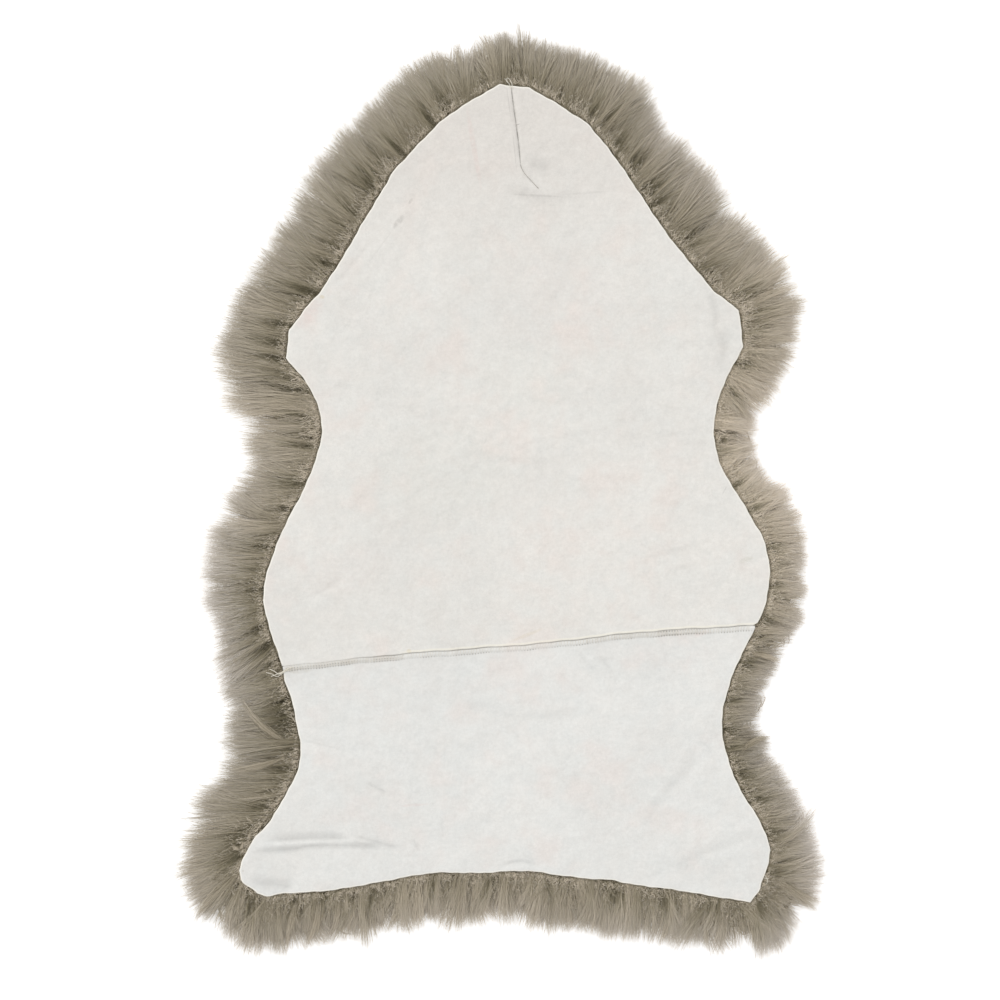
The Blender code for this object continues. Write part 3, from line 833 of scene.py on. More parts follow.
def panel_loop(outline, surface, front):
    """The cutting line of one panel, which meets the other along the neck's side of the seam."""
    run = outline.front_run if front else outline.rear_run
    run, _ = softened(run, CUT_CORNER, 3.0 * MM, closed=False)
    gap = (0.03 if front else -0.03) * MM
    seam = offset_line(surface.seam, SEAM_BAND * MM + gap)[::2]
    if np.linalg.norm(seam[0] - run[-1]) > np.linalg.norm(seam[-1] - run[-1]):
        seam = seam[::-1]
    _, across = surface.from_seam(run)
    beyond = across > (SEAM_BAND + 0.6) * MM if front else across < (SEAM_BAND - 0.6) * MM
    run = run[beyond]
    along = lengths_along(run) / MM
    uneven = 0.26 * np.sin(along / 5.2) + 0.20 * np.sin(along / 2.3 + 1.0) + 0.22 * np.sin(along / 13.0)
    uneven = uneven * smooth(along, 0, 12) * smooth(along[-1] - along, 0, 12)
    run = run + left_of(headed(run)) * (uneven * MM)[:, None]
    for trim in TRIMS:
        apart = np.linalg.norm(run - on_mat(trim.across, trim.down), axis=1)
        moved = np.array([trim.right, -trim.low]) * MM
        run = run + np.exp(-((apart / (trim.reach * MM)) ** 2))[:, None] * moved
    if front:
        seam = seam[1:-1]
    return turned_left(np.vstack([run, seam]))


def seam_rows(surface, front):
    """Rows of points beside the seam, on the neck's side of its band or over and below it."""
    if front:
        offsets = (0.8, 1.8, 3.2, 5.2)
    else:
        offsets = (-0.7, -1.4, -2.1, -2.8, -3.5, -4.2, -5.0, -6.2, -8.0, -10.2)
    rows = []
    for offset in offsets:
        row = offset_line(surface.seam, (SEAM_BAND + offset) * MM)
        rows.append(row if abs(offset) < 6 else row[::3])
    return rows


def crease_rows(surface):
    """Rows of points along every crease and beside it, so that the mesh can bend there."""
    rows = []
    for crease, line in surface.creases:
        wide = crease.width > 3.5
        for share in (-0.7, 0.0, 0.7) if wide else (-1.4, -0.7, 0.0, 0.7, 1.4):
            rows.append(offset_line(line, share * crease.width * MM))
    return rows


def leather_mesh(name, outline, surface, front, settings):
    """One panel of skin: its plan, its heights and how far each point is from its edge and the seam."""
    rng = np.random.default_rng(settings.seed + front)
    loop = panel_loop(outline, surface, front)
    rows = [inset_loop(loop, 1.2 * MM), inset_loop(loop, 3.4 * MM)[::2]]
    rows = seam_rows(surface, front) + rows + crease_rows(surface)
    rows = np.vstack(rows)
    rows = rows[inside(rows, loop)]
    _, clear = nearest_in(tree_of(loop), rows)
    rows = thinned(rows[clear > 0.45 * MM], 0.72 * MM)
    points, triangles = plan_of(loop, [rows], settings.grid, rng)
    _, trim = nearest_in(tree_of(softened(loop, 25.0, 0.8 * MM)[0]), points)
    along, across = surface.from_seam(points)
    height = surface.height(points)
    sewn = smooth(np.abs(across) / MM, 3.0, 7.0)
    height -= 0.35 * MM * np.exp(-((trim / (0.9 * MM)) ** 2)) * sewn
    mesh = triangle_mesh(name, np.column_stack([points, height]), triangles)
    # the creases' rise, kept on the mesh to paint shade in their troughs and a faint highlight on their
    # ridges
    fold = surface.creased(points)
    measures = {"trim": trim, "seam_along": along, "seam_across": across, "fold": fold}
    for label, values in measures.items():
        layer = mesh.attributes.new(label, "FLOAT", "POINT")
        layer.data.foreach_set("value", (values / MM).astype(np.float32))
    return mesh


def thinned(points, distance):
    """Points with those that crowd others left out."""
    cells = {}
    kept = []
    for i, (x, y) in enumerate(points):
        cell = (int(x // distance), int(y // distance))
        around = [cells.get((cell[0] + a, cell[1] + b)) for a in (-1, 0, 1) for b in (-1, 0, 1)]
        if all(o is None or np.hypot(*(points[o] - points[i])) >= distance for o in around):
            cells[cell] = i
            kept.append(i)
    return points[kept]


# Marks on the leather: each an oval with its long axis turned by some degrees, the name of its colour,
# and how strong that is.
# Most are stains or scuffs; the near-black slit marks are painted shade in the neck dart's slit and in
# the faint creases beside it, and the grey marks at (541, 163.5), (522, 190), (536, 195.5) and (585, 193)
# are painted shade in the creases there.
MARKS = table(
    "Mark",
    "across down half_length half_width turn colour strength",
    (512.3, 96.5, 10.5, 0.70, 97, "slit", 0.60), (514.8, 115, 10.0, 0.65, 98, "slit", 0.50),
    (517.3, 133.5, 10.5, 0.70, 98, "slit", 0.58), (519.6, 154, 12.5, 0.70, 95, "slit", 0.50),
    (518, 124.5, 2.4, 0.6, 20, "slit", 0.45), (398.5, 222, 9.5, 3.2, 52, "bruise", 0.34),
    (410.5, 201.5, 4.0, 1.6, 60, "bruise", 0.30), (381, 246, 22, 0.9, 54, "bruise", 0.10),
    (509.0, 105, 20, 0.6, 97, "slit", 0.16), (514.5, 150, 22, 0.6, 96, "slit", 0.16),
    (474, 148, 44, 3.0, 100, "pink", 0.14), (541, 163.5, 15, 6.5, -10, "bruise", 0.05),
    (522, 190, 20, 7.5, -4, "bruise", 0.07), (536, 195.5, 26, 1.3, -3, "bruise", 0.26),
    (585, 193, 26, 1.2, 4, "bruise", 0.12), (322, 297, 3.0, 2.2, 0, "yellow", 0.35),
    (305, 312, 22, 15, 40, "pink", 0.16), (724.5, 490.5, 5.5, 0.7, 61, "bruise", 0.22),
    (686, 562, 18, 9, -40, "bruise", 0.05), (746, 560, 8, 3.0, 20, "olive", 0.16),
    (300, 670.5, 13, 3.4, 4, "brown", 0.22), (350, 662, 11, 2.8, 6, "brown", 0.18),
    (527, 635, 19, 2.0, 22, "yellow", 0.16), (409, 651, 2.6, 2.2, 0, "yellow", 0.40),
    (690, 634, 26, 2.4, 4, "brown", 0.10), (415, 805, 16, 1.6, 4, "pink", 0.14),
    (700, 634, 10, 3.0, 20, "pink", 0.12), (345, 570, 50, 26, 20, "pink", 0.05),
    (440, 470, 90, 60, 10, "green", 0.05), (560, 300, 80, 50, -20, "pink", 0.04),
    (520, 380, 60, 40, 0, "green", 0.04),
)
STAINS = {
    # near black: painted shade in the neck dart's slit and in the faint creases beside it
    "slit": (0.10, 0.095, 0.085),
    # grey: real bruises, and painted shade in some creases
    "bruise": (0.30, 0.29, 0.27),
    "yellow": (0.62, 0.50, 0.26),
    "pink": (0.72, 0.44, 0.40),
    "olive": (0.36, 0.34, 0.20),
    "brown": (0.34, 0.27, 0.18),
    "green": (0.52, 0.62, 0.52),
    "grime": (0.50, 0.45, 0.385),
    "gleam": (0.93, 0.885, 0.74),
    # dark: painted shade in the stitch holes and along the crease of the seam's upper edge
    "stitch": (0.27, 0.25, 0.22),
}


def oval(x, y, mark):
    """1 in the middle of a mark and 0 at its rim."""
    middle = on_mat(mark.across, mark.down) / MM
    turn = math.radians(mark.turn)
    right, away = x - float(middle[0]), y - float(middle[1])
    along = (right * math.cos(turn) + away * math.sin(turn)) / mark.half_length
    across = (away * math.cos(turn) - right * math.sin(turn)) / mark.half_width
    return (along * along + across * across).ease(1.25, 0.15)


def hue(colour, red, green, blue):
    """A colour for a socket with its red, green and blue each made more or less."""
    return (colour[0] * red, colour[1] * green, colour[2] * blue, 1.0)


def suede(finish, where, y, colour, patch):
    """The skin's colour: clouded, cooler in patches, here and there pink, darker and a little warmer
    towards the neck, with painted shade in the creases' troughs and a faint painted highlight on their
    ridges.
    """
    cloud = finish.noise(where, 0.085, 2.0).ease(0.30, 0.70)
    base = finish.mixed(cloud, tint(colour, 0.96), tint(colour, 1.025))
    base = finish.mixed(patch * 0.65, base, hue(colour, 0.955, 0.985, 1.0))
    blush = finish.noise(where, 0.052, 3.0, 0.6).ease(0.50, 0.72)
    base = finish.mixed(blush * 0.7, base, hue(colour, 1.005, 0.955, 0.945))
    base = finish.mixed(y.ease(190.0, 400.0) * 0.75, base, hue(colour, 0.925, 0.905, 0.895))
    fold = finish.own("fold")
    nap = finish.noise(where, 0.0034, 3.0, 0.62)
    fibre = finish.noise(where, 0.0009, 2.0, 0.6)
    soft = finish.noise(where, 0.009, 3.0, 0.55)
    speck = (nap * 0.35 + fibre * 0.35 + soft * 0.30 - 0.5) * 0.48 + 1.0
    # painted shade in the creases' troughs and a faint painted highlight on their ridges, from the
    # crease's rise
    speck = speck * (fold.least(0.0) * 0.10 + fold.most(0.0) * 0.014 + 1.0)
    return finish.shaded(base, speck, speck, speck)


def marked(finish, where, x, y, base):
    """The skin's colour with the table's marks on it, each a little broken up."""
    breakup = finish.noise(where, 0.0042, 3.0, 0.65).ease(0.30, 0.62)
    for mark in MARKS:
        amount = oval(x, y, mark) * mark.strength * (breakup * 0.65 + 0.35)
        base = finish.mixed(amount, base, tint(STAINS[mark.colour]))
    return base


def sewn(finish, where, across, base):
    """The skin's colour with the seam's grime, the gleam of its upper edge painted as a highlight,
    painted shade along the crease of that edge, and its stitch holes darkened as painted shade.
    """
    along = finish.own("seam_along")
    holes = (along * (2 * math.pi / SEAM_PITCH)).wave().ease(0.55, 0.95)
    lower = 1 - (across + SEAM_BAND + 0.1).size().ease(0.35, 0.95)
    middle = 1 - (across + 0.2).size().ease(0.25, 0.8)
    left = 1 - along.ease(105.0, 125.0)
    clear = finish.noise(where, 0.019, 2.0).ease(0.40, 0.60) * 0.7 + 0.3
    gather = (along - 364.0).size()
    worn = (left + 1 - gather.ease(48.0, 66.0)).least(1.0)
    grimy = (1 - across.size().ease(1.9, 3.4)) * (worn * 0.75 + 0.25) * (clear * 0.6 + 0.4)
    base = finish.mixed(grimy * 0.28, base, tint(STAINS["grime"]))
    gleam = (1 - (across - SEAM_BAND - 1.7).size().ease(0.4, 1.6)) * along.ease(112.0, 130.0)
    base = finish.mixed(gleam * 0.42, base, tint(STAINS["gleam"]))
    stained = 1 - (along - 398.0).size().ease(20.0, 36.0)
    crest = 1 - (across - SEAM_BAND + 1.1).size().ease(0.3, 0.9)
    # rows of stitch holes, darkened as painted shade, stronger where the seam is stained
    rows = lower * (stained * 0.6 + 1) + middle * left * 0.9 + crest * stained * 0.9
    dots = rows * (holes * 0.92 + 0.08) * (clear + stained * 0.3)
    dots = dots * (left * 0.2 + stained * 0.3 + 0.62)
    # painted shade along the crease where the seam's upper edge meets the band
    upper = (1 - (across - SEAM_BAND).size().ease(0.3, 1.2)) * (clear * 0.5 + 0.5)
    upper = upper * (along.ease(55.0, 100.0) * 0.8 + 0.2)
    return finish.mixed((dots + upper * 0.42).least(0.85), base, tint(STAINS["stitch"]))


def leather_finish(name, colour, cut_edge_and_highlight_colour):
    """Suede: mottled, softly napped, paler along the cut edge, partly the raw cut's own colour and partly
    a painted highlight along the edge, with painted shade in its creases, and marked as the rug is.
    """
    finish = Finish(name)
    where, x, y, _ = finish.place()
    patch = finish.noise(where, 0.021, 4.0, 0.6).ease(0.25, 0.75)
    across = finish.own("seam_across")
    base = suede(finish, where, y, colour, patch)
    base = marked(finish, where, x, y, base)
    base = sewn(finish, where, across, base)
    off_seam = (across.size() - 4.0).ease(0.0, 3.0)
    # paler band along the cut edge: partly the raw cut's own colour, partly a painted highlight where the
    # edge rounds over
    cut_edge_highlight = finish.own("trim").ease(1.9, 0.5)
    base = finish.mixed(cut_edge_highlight * off_seam * 0.85, base, tint(cut_edge_and_highlight_colour))
    normal = finish.bump(finish.noise(where, 0.034, 3.0, 0.5), 4.2 * MM)
    normal = finish.bump(finish.noise(where, 0.011, 3.0, 0.5), 0.8 * MM, normal)
    normal = finish.bump(finish.noise(where, 0.0016, 4.0, 0.7), 0.16 * MM, normal)
    return finish.done(
        Base_Color=base,
        Roughness=0.92 - patch * 0.06,
        Specular_IOR_Level=0.25,
        Sheen_Weight=0.15,
        Sheen_Roughness=0.6,
        Normal=normal,
    )


def cut_edge_finish(name, colour):
    """The raw cut of the skin: pale fibres lying along it."""
    finish = Finish(name)
    where, _, _, z = finish.place()
    layers = (finish.noise(where, 0.0012, 3.0) * 2.0 + z * 3.0).wave()
    base = finish.mixed(layers * 0.5, tint(colour), tint(colour, 0.82))
    normal = finish.bump(finish.noise(where, 0.0007, 3.0, 0.7), 0.15 * MM)
    return finish.done(Base_Color=base, Roughness=0.9, Specular_IOR_Level=0.2, Normal=normal)


# ---- Wool ----


def wool_finish(name, dark, light, tip):
    """Strands: tone and painted shade along u, and along v paler to the tip, with crimp waves near the
    root painted in as shade.

    The map's four bands, side by side, hold wool in the open and in three depths of shade.
    """
    finish = Finish(name)
    node = finish.add("ShaderNodeUVMap", {"uv_map": "OFBake"})
    parts = finish.add("ShaderNodeSeparateXYZ", None, {0: node.outputs[0]})
    u, v = Amount(finish, parts.outputs[0]), Amount(finish, parts.outputs[1])
    column = u * SHADES
    band = column.worked("FLOOR", column)
    tone = column - band
    depth = band * (1 / (SHADES - 1))
    body = finish.mixed(tone, tint(dark), tint(light))
    body = finish.mixed(v.ease(0.20, MAP_END) * 0.20 + v.ease(0.58, 1.0) * 0.62, body, tint(tip))
    # crimp waves, painted in as shade near the root
    crimp = (v * 110.0 + tone * 60.0).wave()
    near_root = 1 - v.ease(0.10, 0.38)
    # how deep in painted shade the wool lies
    sunk_shade = depth * (1 - v.ease(0.22, 0.60)) * (v.ease(0.0, 0.08) * 0.5 + 0.5)
    shade = (1 - crimp * near_root * 0.26) * (1 - sunk_shade * 0.56)
    # the painted shade, with less blue where the wool is sunk
    olive = shade * (1 - sunk_shade * 0.12)
    body = finish.shaded(body, shade, shade, olive)
    return finish.done(Base_Color=body, Roughness=0.8, Specular_IOR_Level=0.06)


def deep_wool_finish(name, dark, light):
    """The felted depth of the pile, seen between locks: curled and matt, dark as painted shade of the
    deep pile, with the tops of its curls painted lighter as if lit.
    """
    finish = Finish(name)
    where, _, _, _ = finish.place()
    bent = finish.noise(where, 0.009, 2.0)
    settings = {"wave_type": "BANDS", "bands_direction": "DIAGONAL"}
    inputs = {"Vector": where, "Scale": 95.0, "Distortion": 9.0, "Detail": 3.0, "Detail Scale": 1.6}
    curl = Amount(finish, finish.add("ShaderNodeTexWave", settings, inputs).outputs["Fac"])
    fibre = finish.noise(where, 0.0014, 4.0, 0.7)
    base = finish.mixed(curl * 0.6 + fibre * 0.4, tint(dark), tint(light))
    base = finish.mixed(bent.ease(0.35, 0.7) * 0.5, base, tint(dark, 0.7))
    normal = finish.bump(curl * 0.7 + fibre * 0.5, 1.4 * MM)
    return finish.done(Base_Color=base, Roughness=0.95, Specular_IOR_Level=0.15, Normal=normal)


def pile_height(share):
    """The pile's depth as a share of its full depth, at a share of its reach."""
    return np.interp(share, SECTION_OUT, SECTION_UP)


def waves(rng, outline, shortest, longest):
    """An uneven swell round the cut edge, of waves of these lengths in mm, its standard deviation 1."""
    turn = np.arange(EDGE_POINTS) / EDGE_POINTS
    swell = np.zeros(EDGE_POINTS)
    for pitch in rng.uniform(shortest * MM, longest * MM, 14):
        full = round(EDGE_POINTS * outline.step / pitch)
        swell += np.sin(2 * math.pi * (full * turn + rng.uniform()))
    return swell / swell.std()


def height_over(out, reach, slope, extra=0.0, beyond=1.0):
    """The pile's height at distances out from the cut edge, where it comes up along a slope."""
    top = LEATHER_UNDER + (PILE_TOP + extra - LEATHER_UNDER) * smooth(out, 0, slope)
    return top * pile_height(np.clip(out / reach[:, None], 0, beyond))


def tucked(out, height):
    """Heights kept low where strands still lie under the leather."""
    return np.where(out < 1 * MM, np.minimum(height, LEATHER_UNDER), height)


def curliness(outline, at):
    """How curly the pile is at places on the edge: 0 at the neck, and 1 at the tail end."""
    return smooth(-outline.edge[at, 1], *CURLY)


def turned(vectors, angles):
    """Plan vectors turned by angles."""
    cos, sin = np.cos(angles), np.sin(angles)
    x = vectors[:, 0] * cos - vectors[:, 1] * sin
    return np.stack([x, vectors[:, 0] * sin + vectors[:, 1] * cos], axis=1)


def laid(roots, ahead, out, side, height):
    """Paths from roots, by how far they go ahead, to the left and up at each step."""
    left = left_of(ahead)
    plan = roots[:, None] + ahead[:, None] * out[..., None] + left[:, None] * side[..., None]
    return np.concatenate([plan, np.maximum(height, STRAND_CLEAR)[..., None]], axis=2)


class Fleece:
    """Lays strands of wool round the cut edge."""

    def __init__(self, outline, settings):
        self.outline = outline
        rng = np.random.default_rng(settings.seed + 90)
        middle = outline.edge + outline.comb * (0.6 * outline.reach)[:, None]
        steps = np.linalg.norm(np.roll(middle, -1, axis=0) - middle, axis=1) + 0.35 * outline.step
        self.along = np.concatenate([[0], np.cumsum(steps)])
        self.swell = waves(rng, outline, 14, 45)
        self.tone = waves(rng, outline, 12, 60)
        self.lean = waves(rng, outline, 25, 80)
        self.sweep = waves(rng, outline, 18, 60)

    def places(self, wanted):
        """Edge indices of places given along the middle of the pile."""
        at = np.interp(wanted, self.along, np.arange(len(self.along)))
        return at.astype(int) % len(self.outline.edge)

    def locks(self, rng, pitch, turn_noise):
        """Locks evenly round the edge: where each starts, which way it lies, and its character."""
        count = int(self.along[-1] / pitch)
        wanted = (np.arange(count) + rng.uniform(-0.4, 0.4, count)) * self.along[-1] / count
        at = self.places(wanted % self.along[-1])
        outline = self.outline
        tips = np.clip(outline.tips[at] + rng.normal(0, 0.15, count), 0.0, 1.0)
        curly = curliness(outline, at)
        turn = rng.normal(0, turn_noise, count) * (0.8 + 0.9 * tips + 0.7 * curly) + 6.5 * self.lean[at]
        length = 1 + 0.03 * self.swell[at] + 0.085 * rng.normal(0, 1, count) * tips
        unruly = 0.8 + 1.3 * tips + 1.4 * curly
        return {
            "root": outline.edge[at],
            "ahead": turned(outline.comb[at], np.radians(turn)),
            "reach": outline.reach[at] * length,
            "tips": tips,
            "pale": outline.pale[at] + 0.05 * self.tone[at] + rng.normal(0, 0.025, count),
            "fade": outline.fade[at],
            "shade": np.clip(0.13 - 0.07 * self.tone[at] + rng.normal(0, 0.06, count), 0.0, 0.6),
            "bend": (0.05 * self.sweep[at] + rng.normal(0, 0.035, count)) * unruly,
            "width": pitch * rng.uniform(1.5, 2.6, count),
            "lift": 1 + 0.055 * self.swell[at] + rng.normal(0, 0.035, count),
        }

    def strands(self, rng, locks, each, steps, shape):
        """Paths, widths, rolls, paleness and depth of the strands of some locks."""
        wisps = each // shape["wisp"]
        lock = np.repeat(np.arange(len(locks["root"])), wisps)
        wisp = {
            "across": np.clip(rng.normal(0, 0.5, len(lock)), -1.1, 1.1),
            "layer": rng.uniform(*shape["layers"], len(lock)),
            "soft": rng.normal(0.93, 0.09, len(lock)),
            "drawn": rng.normal(1.12, 0.085, len(lock)),
            "turn": np.radians(rng.normal(0, shape["splay"], len(lock))),
            "bend": rng.normal(0, 0.03, len(lock)),
            "pale": rng.normal(0, shape["mix"], len(lock)),
            "phase": rng.uniform(0, 2 * math.pi, len(lock)),
        }
        lock = np.repeat(lock, shape["wisp"])
        count = len(lock)
        pick = {name: values[lock] for name, values in locks.items()}
        wisp = {name: np.repeat(values, shape["wisp"]) for name, values in wisp.items()}
        across = wisp["across"] + rng.normal(0, 0.10, count)
        layer = wisp["layer"] + rng.normal(0, 0.012, count)
        drawn = wisp["drawn"] - 0.26 * np.abs(across) ** 1.4 - 0.16 * rng.uniform(0, 1, count)
        soft = wisp["soft"] + rng.normal(0, 1, count) * (0.22 - 0.12 * pick["tips"])
        length = pick["reach"] * np.clip(soft + (drawn - soft) * pick["tips"], 0.42, 1.22)
        inset = rng.uniform(*shape["inset"], count) * MM
        t = np.linspace(0, 1, steps)[None, :]
        out = -inset[:, None] + (length + inset)[:, None] * t
        share = np.clip(out / length[:, None], 0, 1)
        ahead = turned(pick["ahead"], wisp["turn"] + np.radians(rng.normal(0, shape["loose"], count)))
        gather = np.interp(share, (0, 0.12, 0.30, 0.6, 1.0), (1.0, 0.9, 0.80, 0.92, 0.95))
        point = 1 - pick["tips"][:, None] * 0.62 * smooth(share, 0.40, 1.0)
        side = (across * 0.5 * pick["width"])[:, None] * gather * point
        bend = pick["bend"] + wisp["bend"] + rng.normal(0, 0.03, count)
        side += (bend * length)[:, None] * share**2
        side += shape["curl"] * MM * np.sin(t * shape["turns"] * 2 * math.pi + wisp["phase"][:, None]) * t
        height = height_over(out, pick["reach"], 6 * MM, beyond=SECTION_OUT[-1])
        rise = pick["lift"] * layer
        height = height * (1 + (rise[:, None] - 1) * smooth(out, -2 * MM, 10 * MM))
        height += (shape["dome"] * MM * (1 - across**2) * layer)[:, None] * np.sin(math.pi * share)
        height = tucked(out, height)
        widths = shape["thick"] * MM * rng.uniform(0.7, 1.35, count)
        rolls = np.radians(rng.normal(0, 13, count))
        pale = pick["pale"] + wisp["pale"] + rng.normal(0, 0.05, count)
        depth = pick["shade"] * (0.4 + 0.6 * np.abs(across)) * rng.uniform(0.6, 1.4, count)
        paths = laid(pick["root"], ahead, out, side, height)
        return Strands(paths, widths, rolls, pale, depth, pick["fade"])


class Strands:
    """Strands before they are a mesh: a path, thickness, roll, paleness and depth of shade each.

    A strand's fade, from 0 to 1, is how far it pales to its tip.
    """

    def __init__(self, paths, widths, rolls, pale, depth=0.0, fade=0.0):
        self.paths = paths
        self.widths = widths
        self.rolls = rolls
        self.pale = pale
        self.depth = np.zeros(len(paths)) + depth
        self.ends = MAP_END + (1 - MAP_END) * np.clip(np.zeros(len(paths)) + fade, 0.0, 1.0)

    def part(self, partings, strength=1.0, push_share=0.17):
        """Pushes strands aside along each parting, sinks them there and puts them in shade."""
        roots, longest = self.paths[:, 1, :2], 32 * MM
        for start, end, width in partings:
            ahead = end - start
            length = np.linalg.norm(ahead)
            ahead = ahead / length
            near = np.flatnonzero(np.linalg.norm(roots - start, axis=1) < longest)
            paths = self.paths[near]
            apart = paths[..., :2] - start
            along = apart @ ahead / length
            across = ahead[0] * apart[..., 1] - ahead[1] * apart[..., 0]
            wide = width * strength
            opened = smooth(along, -0.35, 0.15) * smooth(1.2 - along, 0.0, 0.7)
            push = push_share * wide * np.exp(-((across / (1.8 * wide)) ** 2)) * opened * np.sign(across)
            paths[..., 0] -= ahead[1] * push
            paths[..., 1] += ahead[0] * push
            closeness = np.exp(-((across / (1.0 * wide)) ** 2)) * opened
            paths[..., 2] *= 1 - 0.08 * closeness
            self.paths[near] = paths
            self.depth[near] = np.maximum(self.depth[near], 1.35 * closeness[:, 1:-2].max(axis=1))
        return self

    def shaded(self, sink=0.12):
        """Sinks the strands in the hollows of the table and puts them in shade."""
        for hollow in HOLLOWS:
            apart = self.paths[..., :2] - on_mat(hollow.across, hollow.down)
            heading = math.radians(hollow.heading)
            along = apart @ np.array([math.cos(heading), math.sin(heading)])
            across = apart @ np.array([-math.sin(heading), math.cos(heading)])
            away = (along / (hollow.half_length * MM)) ** 2 + (across / (hollow.half_width * MM)) ** 2
            closeness = np.exp(-(away**1.5))
            self.paths[..., 2] *= 1 - sink * min(hollow.shade, 1.0) * closeness
            self.depth = np.maximum(self.depth, hollow.shade * closeness[:, 1:-1].max(axis=1))
        return self

    def pieces(self, rng, name):
        """Meshes of these strands, in as many pieces as keep each one small."""
        triangles = len(self.paths) * (2 * self.paths.shape[1] - 3)
        count = math.ceil(triangles / PIECE_TRIANGLES)
        columns = column_of(self.pale, self.depth + rng.uniform(-0.17, 0.17, len(self.paths)))
        made = []
        for i in range(count):
            some = slice(i * len(self.paths) // count, (i + 1) * len(self.paths) // count)
            label = f"{name}_{i + 1}" if count > 1 else name
            shape = (self.paths[some], self.widths[some], self.rolls[some])
            made.append(strand_mesh(label, *shape, columns[some], self.ends[some]))
        return made


def table_partings():
    """The partings of the table, as start, end and width in metres."""
    rows = np.array(PARTINGS)
    return list(zip(on_mat(*rows[:, :2].T), on_mat(*rows[:, 2:4].T), rows[:, 4] * MM))


def small_partings(rng, outline, count):
    """Slight partings scattered between the locks."""
    found = []
    for at in rng.integers(0, len(outline.edge), count):
        ahead = turned(outline.comb[at : at + 1], np.radians(rng.normal(0, 7, 1)))[0]
        start = outline.edge[at] + ahead * rng.uniform(2, 16) * MM
        length = rng.uniform(0.22, 0.45) * outline.reach[at]
        found.append((start, start + ahead * length, rng.uniform(0.9, 1.9) * MM))
    return found


def lock_strands(rng, each, steps, thick):
    """The single locks of the table, as strands."""
    rows = np.repeat(np.array(LOCKS), each, axis=0)
    count = len(rows)
    root, end = on_mat(*rows[:, :2].T), on_mat(*rows[:, 2:4].T)
    width, bend, pale, lift = rows[:, 4:].T
    width = width * MM
    length = np.linalg.norm(end - root, axis=1)
    ahead = (end - root) / length[:, None]
    across = np.clip(rng.normal(0, 0.5, count), -1.1, 1.1)
    reach = length * (1.03 - 0.30 * rng.beta(1.2, 1.6, count) - 0.20 * np.abs(across) ** 1.5)
    t = np.linspace(0, 1, steps)[None, :]
    side = (across * 0.5 * width)[:, None] * (1 - 0.80 * smooth(t, 0.25, 1.0))
    side = side + ((bend + rng.normal(0, 0.02, count)) * length)[:, None] * 4 * t * (1 - t)
    side = side + rng.normal(0, 1.7, count)[:, None] * MM * t
    layer = rng.uniform(0.88, 1.03, count)[:, None] * lift[:, None]
    height = PILE_TOP * pile_height(0.98 * t) * layer
    height = height + 1.4 * MM * np.sin(math.pi * t) * (1 - across**2)[:, None]
    height[:, 0] = np.minimum(height[:, 0], LEATHER_UNDER)
    paths = laid(root, ahead, reach[:, None] * t, side, height)
    widths = thick * MM * rng.uniform(0.7, 1.3, count)
    rolls = np.radians(rng.normal(0, 30, count))
    depth = smooth(np.abs(across), 0.35, 1.0) * rng.uniform(0, 0.9, count)
    return Strands(paths, widths, rolls, pale + rng.normal(0, 0.04, count), depth, 0.3)


def crimped_strands(rng, fleece, count, steps):
    """Short crimped wool just outside the leather, its waves in step with its neighbours'."""
    outline = fleece.outline
    at = fleece.places(rng.uniform(0, fleece.along[-1], count))
    curly = curliness(outline, at)
    ahead = turned(outline.comb[at], np.radians(rng.normal(0, 1, count) * (24 + 16 * curly)))
    depth_in = np.minimum((22 + 14 * curly) * MM, (0.40 + 0.22 * curly) * outline.reach[at])
    start = rng.beta(0.9, 1.5, count) * depth_in - 2.5 * MM
    length = rng.uniform(4.5, 9.5, count) * MM
    t = np.linspace(0, 1, steps)[None, :]
    out = start[:, None] + length[:, None] * t
    pitch = 3.5 * MM + 0.3 * MM * fleece.swell[at][:, None]
    beat = 1.2 * fleece.tone[at][:, None] + rng.normal(0, 0.5, count)[:, None]
    wave = 2 * math.pi * out / pitch + beat
    side = (0.6 + 0.5 * curly[:, None]) * MM * np.sin(wave) * rng.uniform(0.4, 1.6, count)[:, None]
    side = side + rng.normal(0, 0.8, count)[:, None] * MM * t
    height = height_over(out, outline.reach[at], 5 * MM, extra=0.2 * MM)
    height = height * rng.uniform(0.96, 1.02, count)[:, None] + 0.6 * MM * np.cos(wave)
    height = np.minimum(tucked(out, height), PILE_TOP + 1.5 * MM)
    widths = rng.uniform(0.34, 0.66, count) * MM
    rolls = np.radians(rng.normal(0, 30, count))
    # paler close to the cut edge, and less shaded: painted light that lifts the shade under the leather's
    # edge
    beside = np.exp(-np.maximum(start, 0.0) / (6 * MM))
    pale = outline.pale[at] + 0.02 * fleece.tone[at] + rng.normal(0.08, 0.14, count)
    pale = pale + 0.48 * beside * np.clip(1 - 1.6 * outline.pale[at], 0, 1) - 0.06 * curly
    depth = rng.beta(0.6, 1.6, count) * (1 - 0.5 * beside)
    return Strands(laid(outline.edge[at], ahead, out, side, height), widths, rolls, pale, depth)


